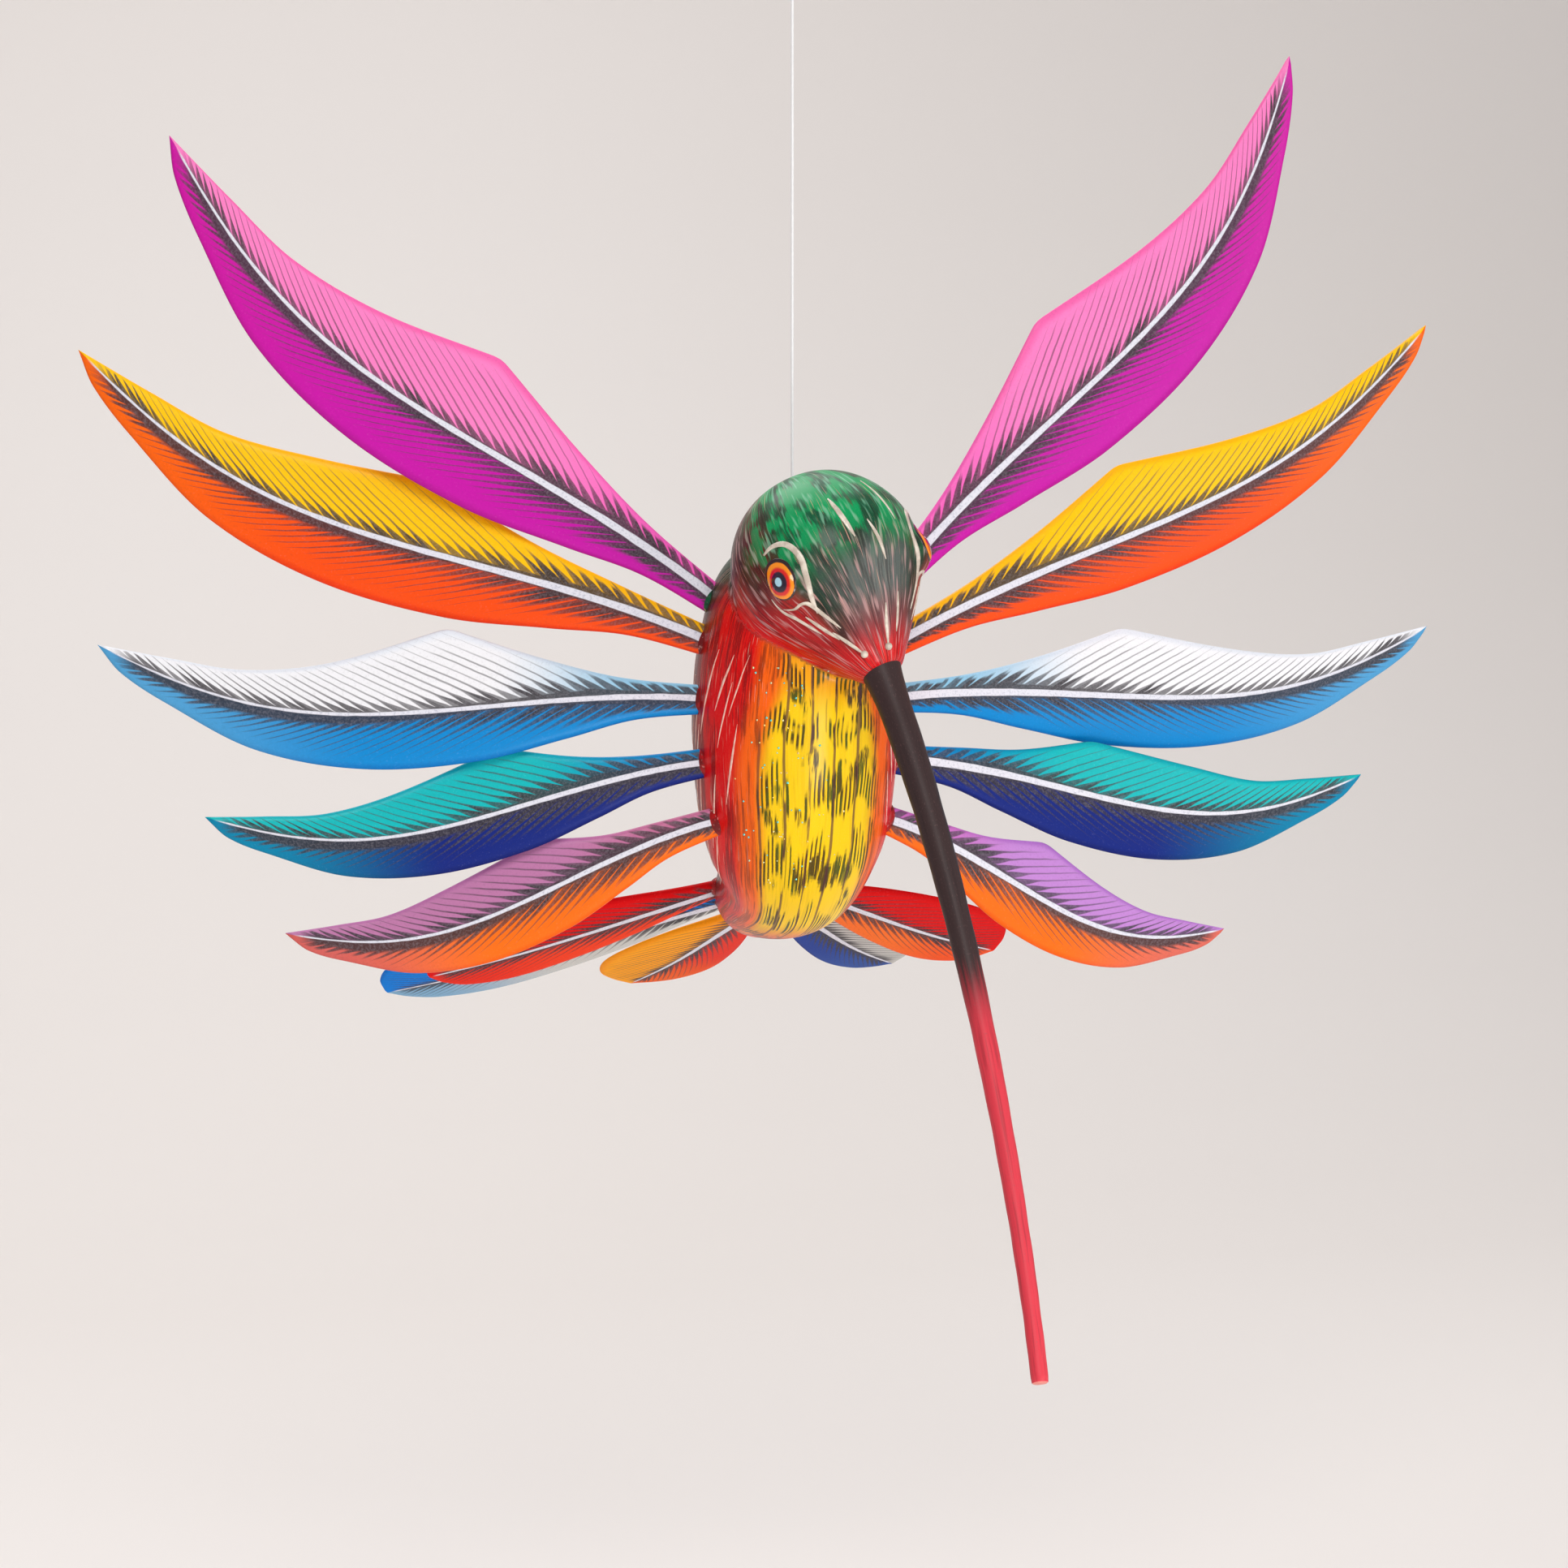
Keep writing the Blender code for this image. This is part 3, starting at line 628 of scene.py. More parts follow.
def feather_mesh(edges, corner, length, thickness, bow):
    """A carved slat: thickest along its shaft, thinner at its edges, which are rounded over."""
    lower, upper = (np.array(edge) for edge in edges)
    part = np.linspace(0, 1, 130)
    along = lower[0, 0] + (length - lower[0, 0]) * (1 - (1 - part) ** 1.25)
    along[-1] = length - 0.02
    low = smooth_values(*lower.T, along)
    high = cornered_values(*upper.T, corner, along, 2.6) if corner else smooth_values(*upper.T, along)
    s = np.clip(along / length, 0, 1)
    shaft = -bow * length * np.sin(math.pi * s ** 1.6)
    shaft = np.clip(shaft, low + 0.18 * (high - low), high - 0.12 * (high - low))
    v = ACROSS[None, :]
    y = shaft[:, None] + np.abs(v) * np.where(v > 0, (high - shaft)[:, None], (low - shaft)[:, None])
    thin = 1 - 0.30 * s[:, None] ** 2
    half = thickness / 2 * thin * (0.62 + 0.38 * (1 - v ** 2)) * np.sqrt(np.clip(1 - np.abs(v) ** 12, 0, 1))
    half = np.minimum(half, 0.45 * (high - low)[:, None] + 0.05)
    x = np.repeat(along[:, None], len(ACROSS), axis=1)
    front = np.stack((x, y, half), axis=2)
    back = np.stack((x, y, -half), axis=2)[:, 1:-1][:, ::-1]
    rings = np.concatenate((front, back), axis=1)
    v_ring = np.concatenate((ACROSS, ACROSS[1:-1][::-1]))
    count, sides = rings.shape[:2]
    vertices = rings.reshape(-1, 3)
    values = {
        "s": np.repeat(s, sides), "v": np.tile(v_ring, count), "x": vertices[:, 0],
        "d": vertices[:, 1] - np.repeat(shaft, sides),
    }
    return vertices, ring_faces(count, sides), values


def add_feather(name, place, axes, paint, slot, *shape):
    vertices, faces, values = feather_mesh(*shape)
    piece = new_piece(f"{name}_slat", placed(vertices, place, axes), faces, values)
    flip_if_inside_out(piece)
    finished(piece, paint, "bird", f"{name}_feather")


def flip_if_inside_out(piece):
    """Turn every face of a closed mesh outwards."""
    mesh = piece.data
    mesh.calc_loop_triangles()
    middle = sum((vertex.co for vertex in mesh.vertices), Vector()) / len(mesh.vertices)
    volume = 0.0
    for triangle in mesh.loop_triangles:
        a, b, c = (mesh.vertices[index].co - middle for index in triangle.vertices)
        volume += a.dot(b.cross(c))
    if volume < 0:
        mesh.flip_normals()


# Upper half, lower half, upper rim, lower rim, tip of the lower half, root of the upper half
FEATHER_COLOURS = {
    "magenta": ((250, 128, 194), (198, 16, 166), (238, 66, 150), (168, 0, 136), (204, 20, 160),
        (248, 96, 190)),
    "yellow": ((255, 198, 0), (250, 78, 12), (250, 166, 0), (226, 34, 4), (248, 104, 8), (255, 186, 0)),
    "white": ((238, 238, 242), (0, 134, 206), (214, 222, 234), (0, 104, 184), (84, 160, 208),
        (140, 198, 228)),
    "teal": ((16, 184, 186), (8, 34, 124), (0, 150, 170), (2, 20, 96), (0, 138, 176), (0, 128, 190)),
    "purple": ((190, 130, 206), (250, 110, 12), (166, 98, 190), (236, 84, 0), (214, 106, 96),
        (196, 104, 186)),
    "left_purple": ((188, 120, 166), (252, 112, 12), (172, 92, 154), (238, 86, 0), (206, 96, 96),
        (196, 110, 150)),
}
TAIL_COLOURS = {
    "tail_left_outer": ((226, 4, 10), (246, 66, 30), (204, 0, 8), (232, 36, 16), (236, 40, 24),
        (220, 4, 10)),
    "tail_left_inner": ((0, 128, 226), (206, 206, 202), (0, 104, 200), (190, 192, 192), (120, 174, 212),
        (0, 120, 210)),
    "tail_centre": ((255, 164, 0), (232, 44, 22), (248, 142, 0), (214, 24, 12), (244, 100, 14),
        (250, 150, 0)),
    # The right inner slat carries the left inner slat's white and blue pair, darkened to grey and navy as
    # painted shade.
    "tail_right_inner": ((196, 194, 190), (30, 62, 150), (172, 172, 170), (18, 42, 124), (50, 84, 160),
        (180, 180, 182)),
    "tail_right_outer": ((226, 8, 12), (250, 116, 44), (204, 4, 8), (238, 94, 26), (244, 80, 32),
        (220, 8, 12)),
}


def make_feathers():
    """All slats, and for each its place, axes and name, so that the filler collars can follow."""
    frames = []
    seed = 1.0
    for side, wing, rows in ((-1, "left", LEFT_WING), (1, "right", RIGHT_WING)):
        for name, length, rise, sweep, out, height, belly, shoulder, shoulder_at in rows:
            rise, sweep = math.radians(rise), math.radians(sweep)
            level = np.array((side * math.cos(sweep), math.sin(sweep), 0))
            along = level * math.cos(rise) + np.array((0, 0, math.sin(rise)))
            across = np.array((0, 0, math.cos(rise))) - level * math.sin(rise)
            place, axes = axis_frame((side * out, 0, height), along, across)
            colours = FEATHER_COLOURS.get(f"{wing}_{name}", FEATHER_COLOURS[name])
            shaft_width = 0.58 if wing == "left" and rise < math.radians(10) else 0.80
            paint = feather_paint(f"{wing}_{name}_paint", colours, seed, shaft_width=shaft_width)
            edges = wing_edges(length, belly, shoulder, shoulder_at)
            add_feather(f"{wing}_{name}", place, axes, paint, f"{name}_paint",
                        edges, 3, length, WING_THICKNESS, 0.48 * belly)
            frames.append((f"{wing}_{name}", place, axes, COLLAR_WING))
            seed += 7.3
    pitch = math.radians(TAIL_PITCH)
    normal = np.array((0, math.sin(pitch), math.cos(pitch)))
    for name, root, tip, width in TAIL:
        along = np.array(tip) - np.array(root)
        length = np.linalg.norm(along)
        # The painted upper half faces out and forward, to the left on the left-hand and middle slats
        across = np.cross(normal, along) * (-1 if "right" in name else 1)
        place, axes = axis_frame(root, along, across)
        paint = feather_paint(f"{name}_paint", TAIL_COLOURS[name], seed, band_share=0.3)
        add_feather(name, place, axes, paint, "tail_paint",
                    tail_edges(length, width), 0, length, TAIL_THICKNESS, 0.02)
        frames.append((name, place, axes, COLLAR_TAIL))
        seed += 7.3
    return frames


# ---------------- carved body
def head_radius(t):
    return smooth_values(*zip(*HEAD), t)


def head_point(t, psi, out=1.0):
    """A point on the head: t millimetres towards the beak, psi degrees from the crown's middle line."""
    radius = head_radius([t])[0] * out
    angle = math.radians(psi)
    return HEAD_MIDDLE + HEAD_AXIS * t + (HEAD_CROWN * math.cos(angle) + HEAD_SIDE * math.sin(angle)) * radius


EYES = ((5.2, 60.0), (5.2, -60.0))


def carved_shape():
    """Torso, head and eye bulges melted into one smooth skin. Returns its mesh, in metres where it stands in
    the scene.
    """
    rows = smooth_path(TORSO, 90)
    end = rows[0, :3] + unit(rows[0, :3] - rows[1, :3]) * 2.2
    torso_path = np.concatenate(([end], rows[:, :3]))
    torso_radii = np.concatenate(([4.4], rows[:, 3]))
    levels = np.linspace(HEAD[0][0], HEAD[-1][0], 80)
    head_path = HEAD_MIDDLE + levels[:, None] * HEAD_AXIS
    parts = [tube(torso_path, torso_radii, 64), tube(head_path, head_radius(levels), 64)]
    parts += [ball(head_point(t, psi, 0.79), (5.2, 5.2, 5.2)) for t, psi in EYES]
    rough = new_piece("rough_carving", *joined(parts))
    remesh = rough.modifiers.new("melt", "REMESH")
    remesh.mode = "VOXEL"
    remesh.voxel_size = 0.55 * MM
    smooth = rough.modifiers.new("sand", "SMOOTH")
    smooth.factor = 0.5
    smooth.iterations = 14
    mesh = bpy.data.meshes.new_from_object(rough.evaluated_get(bpy.context.evaluated_depsgraph_get()))
    bpy.data.objects.remove(rough)
    return mesh


def colour_layout(points):
    """Where each colour of the body lies, and the directions in which its brush strokes run."""
    torso = smooth_path(TORSO, 240)
    nearest = np.empty(len(points), int)
    for start in range(0, len(points), 8000):
        block = points[start:start + 8000, None, :] - torso[None, :, :3]
        nearest[start:start + 8000] = np.argmin((block ** 2).sum(axis=2), axis=1)
    along = lengths_to(torso[:, :3])[nearest]
    front = np.cross(unit(np.gradient(torso[:, :3], axis=0)), (1.0, 0, 0))
    offset = points - torso[nearest, :3]
    azimuth = np.degrees(np.arctan2(offset[:, 0], -(offset * front[nearest]).sum(axis=1)))
    relative = points - HEAD_MIDDLE
    t = relative @ HEAD_AXIS
    radial = relative - t[:, None] * HEAD_AXIS
    radius = np.linalg.norm(radial, axis=1)
    psi = np.degrees(np.arctan2(radial @ HEAD_SIDE, radial @ HEAD_CROWN))
    limit = head_radius(np.clip(t, HEAD[0][0], HEAD[-1][0]))
    near_eye = np.exp(-((t - EYES[0][0]) / 5.5) ** 2 - ((np.abs(psi) - EYES[0][1]) / 17) ** 2)
    depth = np.where((t > HEAD[0][0]) & (t < HEAD[-1][0] + 1.3), radius / limit / (1 + 0.3 * near_eye), 3.0)
    on_head = 1 - smoothstep(1.02, 1.09, depth)
    return {"along": along, "azimuth": azimuth, "t": t, "psi": psi, "on_head": on_head, "z": points[:, 2]}


def layered(base, *layers):
    """A colour for each vertex: a base, and over it layers of a colour and its share at each vertex."""
    colour = np.array(linear(*base))
    for values, share in layers:
        colour = colour + (np.array(linear(*values)) - colour) * share[:, None]
    return colour


def body_colours(layout):
    """Large areas of colour, one for each vertex, and masks for the strokes that the shader adds."""
    azimuth, z = layout["azimuth"], layout["z"]
    away = np.abs(azimuth - 0.5)
    half = 25 + 11 * smoothstep(24, 2, z)
    orange, red, nape = (252, 100, 2), (224, 0, 4), (20, 62, 40)
    torso = layered(
        (255, 208, 0),
        (orange, 0.45 * smoothstep(14, 22, z)),                                 # under the chin
        (orange, smoothstep(half - 7, half + 4, away)),
        (red, smoothstep(half + 8, half + 19, away)),
        (red, smoothstep(-27, -33, z)),
        ((104, 14, 16), smoothstep(70, 96, away)),
        (nape, smoothstep(112, 138, away)),
        (nape, smoothstep(26, 44, z) * smoothstep(60, 95, away)),               # high on the flanks
    )
    t, psi, on_head = layout["t"], np.abs(layout["psi"]), layout["on_head"]
    crown = smoothstep(10, -2, t) * smoothstep(86, 50, psi) * on_head
    head = layered(
        (20, 52, 38),
        ((4, 92, 58), 0.7 * crown),
        ((92, 100, 96), smoothstep(1, 9, t) * smoothstep(50, 18, psi)),
        ((132, 56, 60), smoothstep(12, 19, t) * smoothstep(64, 34, psi)),
        ((176, 8, 20), smoothstep(50, 66, psi) * smoothstep(-2, 8, t)),         # cheeks
        ((86, 26, 26), 0.9 * smoothstep(44, 66, psi) * smoothstep(11, 2, t)),   # behind the eyes
        ((216, 0, 16), smoothstep(17, 23, t)),
        (nape, smoothstep(84, 112, psi) * smoothstep(2, -7, t)),
        ((216, 6, 14), smoothstep(80, 108, psi) * smoothstep(-6, 2, t)),        # throat
    )
    breast = (1 - smoothstep(half - 2, half + 8, away)) * (1 - on_head)
    flank = smoothstep(half + 2, half + 12, away) * (1 - on_head)
    return torso + (head - torso) * on_head[:, None], breast, flank, crown


def body_paint():
    """Brush strokes that follow the feathers: dashes on the breast, streaks on the flanks and crown."""
    p = Paint("body_paint")
    base = p.attribute("paint", "Color")
    across, along = p.attribute("across"), p.attribute("along")
    breast, flank = p.attribute("breast"), p.attribute("flank")
    head, crown = p.attribute("on_head"), p.attribute("crown")
    drift = p.noise(p.vector(across * 0.1, along * 0.05), 1.0, 2.0) - 0.5
    across = across + drift * 2.5

    def strokes(across_scale, along_scale, depth, detail=1.0, roughness=0.5):
        """Noise drawn out along the feathers' direction."""
        return p.noise(p.vector(across * across_scale, along * along_scale, depth), 1.0, detail, roughness)

    broad = strokes(0.55, 0.045, 2.0, 2.0)
    fine = strokes(2.6, 0.13, 5.0, 3.0, 0.6)
    grain = strokes(5.0, 3.0, 1.0, 2.0, 0.7)

    # Dark and bright streaks everywhere, weaker on the breast
    dark = p.step(broad * 0.5 + fine * 0.5, 0.48, 0.58) * (1.0 - breast * 0.8)
    colour = p.mix(dark * 0.66, base, p.mix(0.86, base, linear(34, 12, 12)))
    bright = p.mix(0.14, base, linear(255, 170, 110))
    colour = p.mix(p.step(fine, 0.44, 0.34) * 0.4, colour, bright)
    # Patches of bright green on the crown, and soft pale strokes over the whole head
    patch = p.step(strokes(0.27, 0.15, 31.0) + (fine - 0.5) * 0.5, 0.43, 0.54) * crown
    colour = p.mix(patch * 0.95, colour, linear(0, 154, 88))
    frost = p.step(strokes(1.25, 0.16, 41.0), 0.54, 0.68) * head * 0.6
    colour = p.mix(frost, colour, p.mix(crown, linear(206, 160, 158), linear(128, 196, 160)))
    # Pale hairs
    pale = p.step(strokes(4.6, 0.1, 9.0, 2.0), 0.645, 0.69) * (flank * 0.75 + head * 0.5)
    colour = p.mix(pale, colour, linear(240, 176, 156))
    # Short dark dashes in scalloped rows on the breast
    lane = across / 0.8
    lane_number = p.math("FLOOR", lane)
    luck = p.random(p.vector(lane_number, 1.0))
    scallop = abs(p.math("SINE", across * 0.42)) * 0.34
    row = along / 11.5 + scallop + luck * 0.16
    row_part = p.math("FRACT", row)
    row_luck = p.random(p.vector(lane_number, p.math("FLOOR", row), 4.0))
    in_row = p.step(row_part, 0.06, 0.2) * p.step(row_part + (row_luck - 0.5) * 0.24, 0.72, 0.56)
    lane_middle = abs(p.math("FRACT", lane) - 0.5)
    dash = p.step(lane_middle - (row_luck * 0.2 + 0.14), 0.07, -0.07) * in_row * p.step(row_luck, 0.1, 0.16)
    clump = strokes(0.2, 0.13, 21.0)
    blot = p.step(clump, 0.56, 0.64) * p.step(fine, 0.45, 0.52)
    dash = p.math("MAXIMUM", dash * (p.step(clump, 0.3, 0.4) * 0.7 + 0.3), blot) * breast * 0.92
    tint = p.step(strokes(0.25, 0.12, 7.0, 2.0), 0.46, 0.56)
    colour = p.mix(dash, colour, p.mix(tint, linear(40, 26, 14), linear(30, 66, 14)))
    # Long thin lines from the throat to the belly
    long_lane = abs(p.math("FRACT", across / 4.3) - 0.5)
    long_line = p.step(long_lane, 0.075, 0.035) * p.step(strokes(0.7, 0.11, 12.0, 2.0), 0.34, 0.42)
    colour = p.mix(long_line * breast * 0.78, colour, linear(78, 36, 44))
    colour = p.mix(p.step(grain, 0.55, 0.75) * 0.05, colour, linear(250, 226, 190))
    p.bump(dark * 0.5 + pale * 0.7 + (dash * 0.5 + grain * 0.2), 0.45, 0.12 * MM)
    return p.finish(colour, 0.42, 0.27, 0.20, specular=0.10)


def make_body():
    mesh = carved_shape()
    count = len(mesh.vertices)
    places = np.empty(count * 3, np.float32)
    mesh.vertices.foreach_get("co", places)
    points = (places.reshape(-1, 3).astype(float) - np.array(BIRD_ORIGIN)) / MM
    layout = colour_layout(points)
    rgba, breast, flank, crown = body_colours(layout)
    on_head = layout["on_head"]
    head_side = on_head > 0.5
    across = np.where(head_side, layout["psi"] * 0.27 + 60, layout["azimuth"] * 0.31)
    along = np.where(head_side, layout["t"] * 1.1, layout["along"])
    add_values(mesh, {"across": across, "along": along, "breast": breast, "flank": flank,
                      "on_head": on_head, "crown": crown})
    layer = mesh.attributes.new("paint", "FLOAT_COLOR", "POINT")
    layer.data.foreach_set("color", rgba.astype(np.float32).ravel())
    mesh.shade_smooth()
    mesh.materials.clear()
    return finished(linked("carved_body_skin", mesh), body_paint(), "bird", "carved_body")


# ---------------- raised paint: eyes, brows, strokes, dots
class Skin:
    """Finds the nearest place on the body, in bird millimetres."""

    def __init__(self, body):
        mesh = body.data
        vertices = [(vertex.co - BIRD_ORIGIN) / MM for vertex in mesh.vertices]
        self.tree = BVHTree.FromPolygons(vertices, [tuple(face.vertices) for face in mesh.polygons])

    def at(self, point):
        place, normal = self.tree.find_nearest(Vector(point))[:2]
        return np.array(place), np.array(normal)

    def reach(self, place, along, far=40.0):
        """How far out from a place, along a direction, the body's outside lies."""
        hit = self.tree.ray_cast(Vector(place + along * far), Vector(-along))
        return far - hit[3]


def brush_stroke(skin, points, width, height=0.16, count=28, blunt=0.5):
    """A raised line of paint that lies on the body and thins towards its ends."""
    places, normals = map(np.array, zip(*(skin.at(point) for point in smooth_path(points, count))))
    part = np.linspace(0, 1, count)
    swell = np.clip(np.sin(math.pi * np.clip(part, 0.02, 0.98)), 0, 1) ** blunt
    return tube(places + normals * 0.02, 0, 10, (normals, width / 2 * swell, height * (0.4 + 0.6 * swell)))


def stroke_paint(name, first, second):
    p = Paint(name)
    cloud = p.cloud(700.0, 3.0)
    colour = p.mix(p.step(cloud, 0.35, 0.65), first, second)
    p.bump(cloud, 0.3, 0.05 * MM)
    return p.finish(colour, 0.4, 0.6, 0.12)


def add_trim(name, shapes, paint):
    finished(new_piece(name, *joined(shapes)), paint, "bird")


def head_stroke(skin, rows, side, *sizes):
    """A brush stroke through places on the head, mirrored where side is -1."""
    return brush_stroke(skin, [head_point(t, side * psi) for t, psi in rows], *sizes)


BROW = ((-1.3, 62), (-1.6, 55), (-0.8, 48), (0.9, 44), (3.5, 42.5), (6.2, 45), (8.6, 49), (10.8, 53),
        (12.4, 55.5))
LID = ((8.4, 73), (9.4, 66), (9.3, 60), (10.2, 56.5), (13.0, 53), (16.3, 48))
CHEEK_LINES = (((5.9, 74), (8.6, 76), (11.0, 73), (15.2, 68)), ((11.6, 66), (14.6, 63), (17.6, 58)))


def make_face(skin):
    ivory = stroke_paint("ivory_strokes", linear(226, 214, 198), linear(196, 180, 164))
    strokes = []
    for side in (1, -1):
        strokes.append(head_stroke(skin, BROW, side, 1.25, 0.22, 40, 0.35))
        strokes.append(head_stroke(skin, LID, side, 0.85, 0.15, 34))
        strokes += [head_stroke(skin, rows, side, 0.75, 0.12, 26) for rows in CHEEK_LINES]
    for rows, width in (
        (((16.1, 58), (19.0, 52), (21.6, 44)), 0.75), (((15.5, -6), (18.5, -4), (22.0, -2)), 0.75),
        (((-5.0, 11), (-1.0, 9.5), (4.1, 7.0)), 1.1), (((1.5, -5), (5.0, -8), (9.0, -11)), 0.8),
        (((-8.0, -22), (-3.0, -24), (2.0, -27)), 0.6), (((14.0, -22), (17.0, -22), (20.0, -20)), 0.6),
    ):
        strokes.append(head_stroke(skin, rows, 1, width, 0.14, 22))
    for t, psi in ((21.6, 44), (22.0, -2)):
        strokes.append(ball(skin.at(head_point(t, psi))[0], (0.72, 0.72, 0.72), segments=16, rings=10))
    add_trim("face_strokes", strokes, ivory)


def eye_paint():
    p = Paint("eye_paint")
    r = p.attribute("ring")
    cloud = p.cloud(500.0, 2.0)
    r = r + (cloud - 0.5) * 0.05
    colour = linear(176, 220, 236)
    for low, high, ring_colour in ((0.15, 0.20, (34, 14, 40)), (0.38, 0.46, (220, 20, 8)),
                                   (0.54, 0.66, (255, 146, 0)), (0.77, 0.82, (40, 14, 20))):
        colour = p.mix(p.step(r, low, high), colour, linear(*ring_colour))
    return p.finish(colour, 0.25, 1.0, 0.05)


def make_eyes(skin):
    paint = eye_paint()
    for name, (t, psi) in zip(("right_eye", "left_eye"), EYES):
        middle, normal = skin.at(head_point(t, psi, 1.2))
        long_way = unit(HEAD_AXIS - normal * (HEAD_AXIS @ normal))
        wide_way = np.cross(normal, long_way)
        vertices, ring_values = [], []
        rings, sides = 14, 48
        for ring in range(rings + 1):
            part = ring / rings
            for k in range(sides):
                angle = 2 * math.pi * k / sides
                flat = wide_way * 3.9 * part * math.cos(angle) + long_way * 5.0 * part * math.sin(angle)
                place, out = skin.at(middle + flat)
                lift = 0.28 * (1 - part ** 4) if ring < rings else -0.15
                vertices.append(place + out * lift)
                ring_values.append(part)
        faces = ring_faces(rings + 1, sides)
        faces.pop(-2)               # the innermost ring is a single point and needs no cap
        piece = new_piece(name, vertices, faces, {"ring": ring_values})
        merge_close(piece)
        flip_if_inside_out(piece)
        finished(piece, paint, "bird")


def merge_close(piece):
    shape = bmesh.new()
    shape.from_mesh(piece.data)
    bmesh.ops.remove_doubles(shape, verts=shape.verts, dist=1e-7)
    shape.to_mesh(piece.data)
    shape.free()
    piece.data.shade_smooth()


def torso_point(height, azimuth):
    """A point near the torso's surface at a height, azimuth degrees round from the breast."""
    torso = smooth_path(TORSO, 200)
    row = torso[np.argmin(np.abs(torso[:, 2] - height))]
    angle = math.radians(azimuth)
    return row[:3] + np.array((math.sin(angle), -math.cos(angle), 0)) * row[3]


def make_flank_strokes(skin):
    """Long pale strokes that sweep down each flank from behind the eye."""
    draw = random.Random(4)
    strokes = []
    for side in (-1, 1):
        for index in range(17):
            azimuth = 50 + 3.6 * index + draw.uniform(-1.5, 1.5)
            top = 30 - 44 * draw.random()
            length = draw.uniform(9, 16)
            lean = 6 * (top + 20) / 50
            path = [torso_point(top - length * k / 4, side * (azimuth - lean * (1 - k / 2)))
                    for k in range(5)]
            strokes.append(brush_stroke(skin, path, draw.uniform(0.30, 0.55), 0.09, 24, 0.7))
    paint = stroke_paint("pale_strokes", linear(244, 206, 190), linear(232, 164, 146))
    add_trim("flank_strokes", strokes, paint)


def make_glitter(skin):
    """Fine metallic flakes caught in the varnish of the breast."""
    draw = random.Random(11)
    flakes = []
    for flake in range(90):
        height = draw.uniform(-16, 24)
        azimuth = draw.gauss(-22, 13)
        place = skin.at(torso_point(height, azimuth))[0]
        size = draw.uniform(0.10, 0.26)
        flakes.append(ball(place, (size, size, size), segments=8, rings=5))
    p = Paint("glitter")
    cloud = p.cloud(260.0, 1.0)
    colour = p.mix(p.step(cloud, 0.42, 0.58), linear(120, 230, 220), linear(255, 226, 130))
    add_trim("glitter_flakes", flakes, p.finish(colour, 0.18, 0.4, 0.1, 0.6))


# ---------------- beak and filler collars
def beak_paint():
    p = Paint("beak_paint")
    s, turn = p.attribute("s"), p.attribute("turn")
    grain = p.noise(p.vector(s * 60.0, turn * 5.0), 1.0, 3.0)
    streak = p.noise(p.vector(s * 9.0, turn * 14.0, 3.0), 1.0, 3.0)
    speck = p.noise(p.vector(s * 260.0, turn * 30.0, 8.0), 1.0, 2.0)
    change = s + (streak - 0.5) * 0.1
    colour = p.mix(p.step(change, 0.38, 0.50), linear(58, 42, 42), linear(214, 58, 72))
    colour = p.mix(p.step(streak, 0.5, 0.68) * 0.28, colour, linear(30, 22, 24))
    colour = p.mix(p.step(speck, 0.6, 0.76) * 0.35, colour, linear(120, 84, 84))
    colour = p.mix(p.step(s, 0.994, 0.998), colour, linear(232, 140, 130))
    p.bump(grain + speck, 0.35, 0.08 * MM)
    return p.finish(colour, 0.52, 0.10, 0.35, specular=0.2)


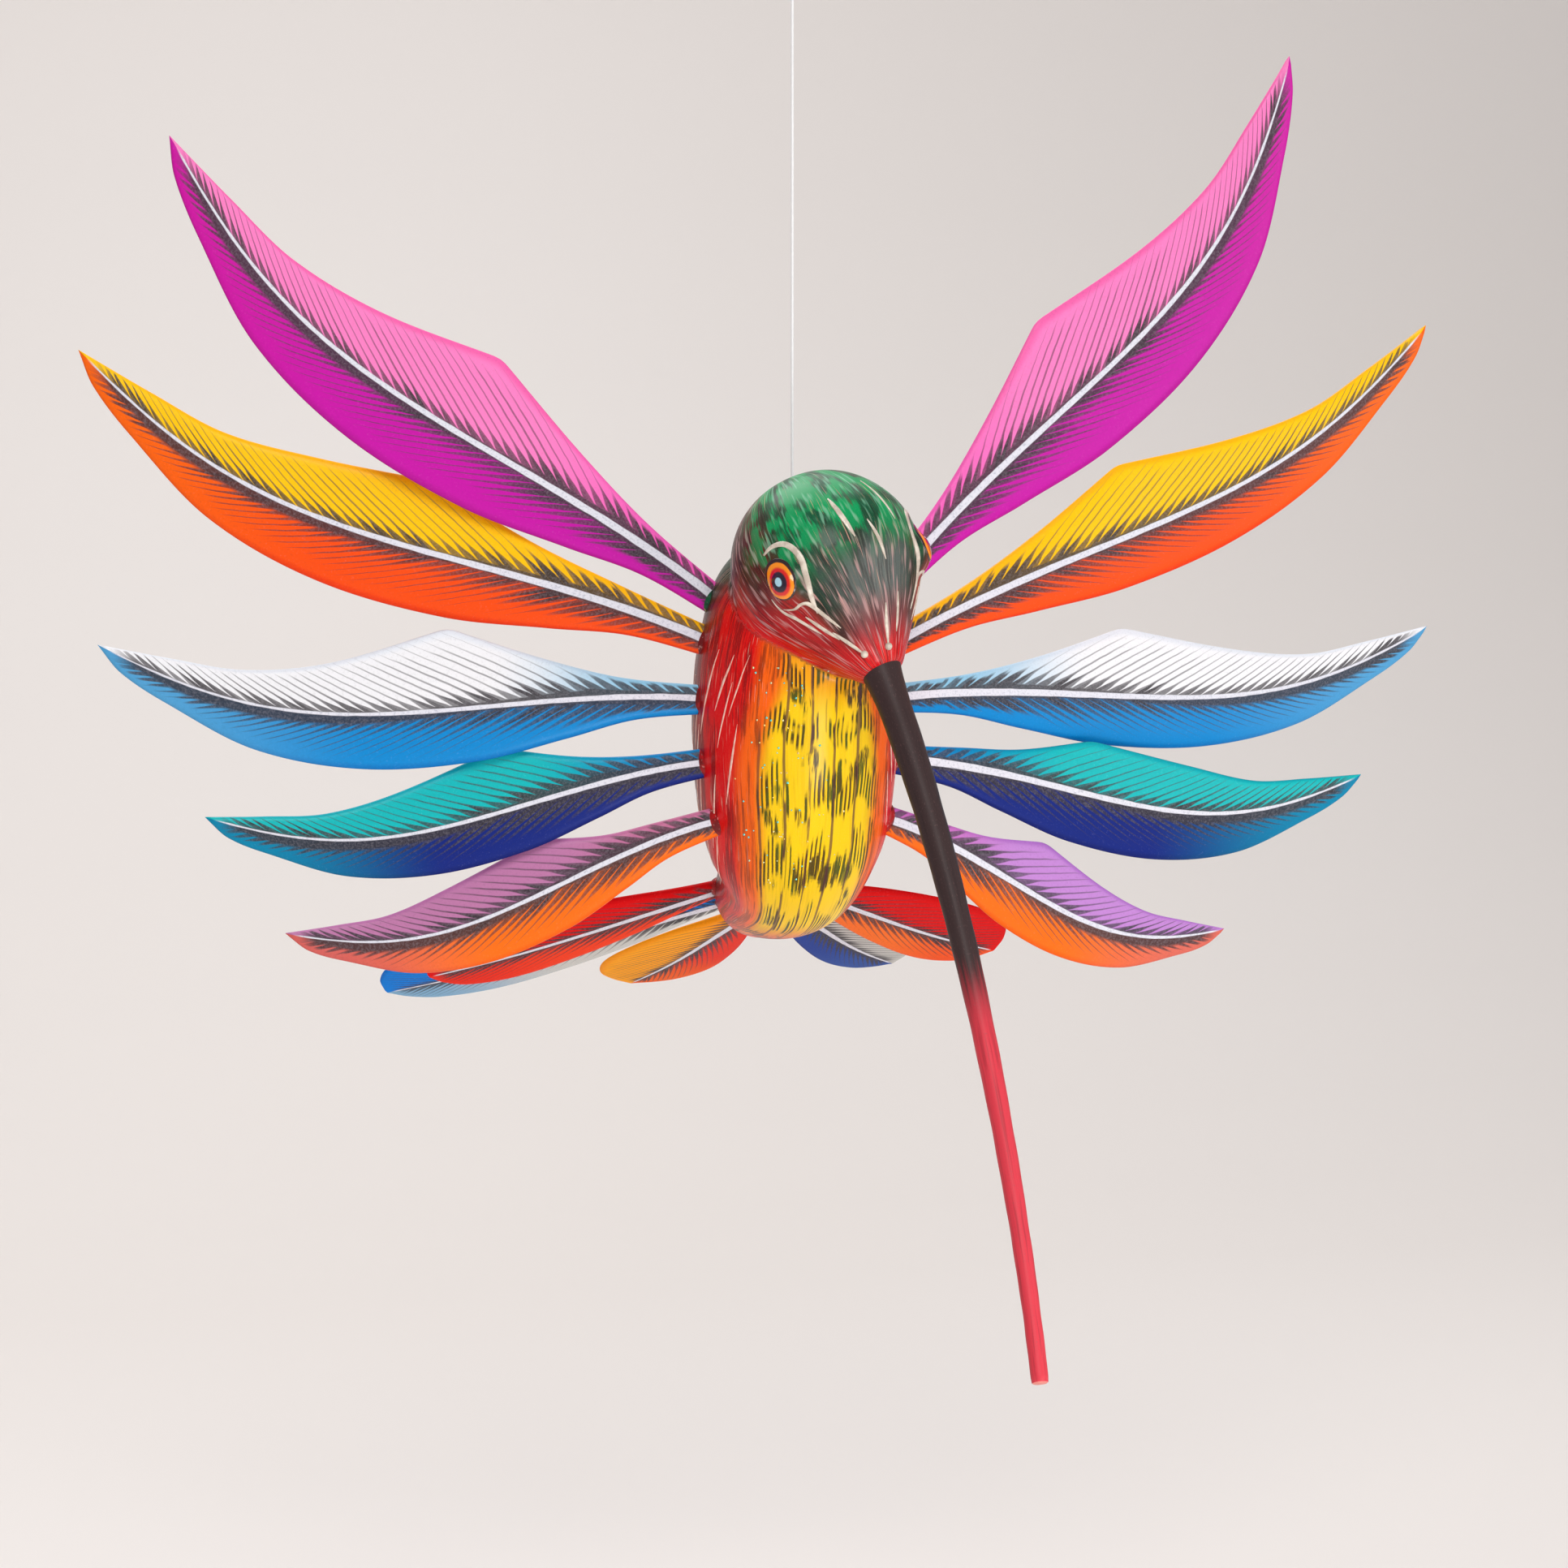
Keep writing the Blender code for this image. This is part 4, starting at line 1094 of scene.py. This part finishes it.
def make_beak():
    start = BEAK_ROOT - HEAD_AXIS * 1.5
    first, second, tip = map(np.array, (*BEAK_HANDLES, BEAK_TIP))
    u = np.linspace(0, 1, 150)[:, None]
    path = start * (1 - u) ** 3 + first * 3 * u * (1 - u) ** 2 + second * 3 * u * u * (1 - u) + tip * u ** 3
    u = u[:, 0]
    radii = BEAK_RADII[0] + (BEAK_RADII[1] - BEAK_RADII[0]) * (1 - (1 - u) ** 1.7)
    radii = radii + 0.9 * np.exp(-u / 0.02)
    # whittled facets, and the cut tip's softened rim
    radii = radii + 0.05 * np.sin(u * 70) * np.sin(u * 23)
    radii[-1] *= 0.80
    radii[-2] *= 0.95
    path[-2] = path[-1] - (path[-1] - path[-3]) * 0.15
    sides = 32
    vertices, faces = tube(path, radii, sides)
    turn = np.tile(np.abs(np.arange(sides) / sides - 0.5) * 2, len(u))
    beak = new_piece("beak_whittled", vertices, faces, {"s": np.repeat(u, sides), "turn": turn})
    flip_if_inside_out(beak)
    finished(beak, beak_paint(), "bird", "beak")


def collar_paint(name, first, second):
    p = Paint(name)
    cloud = p.cloud(420.0, 3.0)
    streak = p.cloud(1300.0, 2.0)
    colour = p.mix(p.step(cloud, 0.40, 0.60), first, second)
    colour = p.mix(p.step(streak, 0.58, 0.68) * 0.35, colour, linear(220, 170, 160))
    p.bump(cloud, 0.4, 0.2 * MM)
    return p.finish(colour, 0.40, 0.3, 0.15, specular=0.15)


def make_collars(skin, frames):
    """Smoothed filler round each root, a little uneven, as a finger leaves it."""
    green = collar_paint("green_filler", linear(20, 84, 54), linear(16, 48, 34))
    dark = collar_paint("dark_filler", linear(172, 12, 16), linear(112, 18, 20))
    for name, place, axes, (*half_sizes, out) in frames:
        # Seat the collar where the middle of the feather goes into the carved skin
        vertices, faces = ball((skin.reach(place, axes[0]) + out, 0, 0), half_sizes)
        offsets = [noise.noise(Vector(vertex) * 0.28 + Vector(place) * 0.3) for vertex in vertices]
        vertices = vertices * (1 + 0.08 * np.array(offsets))[:, None]
        piece = new_piece(f"{name}_filler_smoothed", placed(vertices, place, axes), faces)
        flip_if_inside_out(piece)
        finished(piece, green if "magenta" in name else dark, "bird", f"{name}_filler")


# ---------------- all of it
make_camera()
make_line()
make_stage()
make_screw_eye()
feather_frames = make_feathers()
carved_body = make_body()
carved_skin = Skin(carved_body)
make_eyes(carved_skin)
make_face(carved_skin)
make_flank_strokes(carved_skin)
make_glitter(carved_skin)
make_beak()
make_collars(carved_skin, feather_frames)
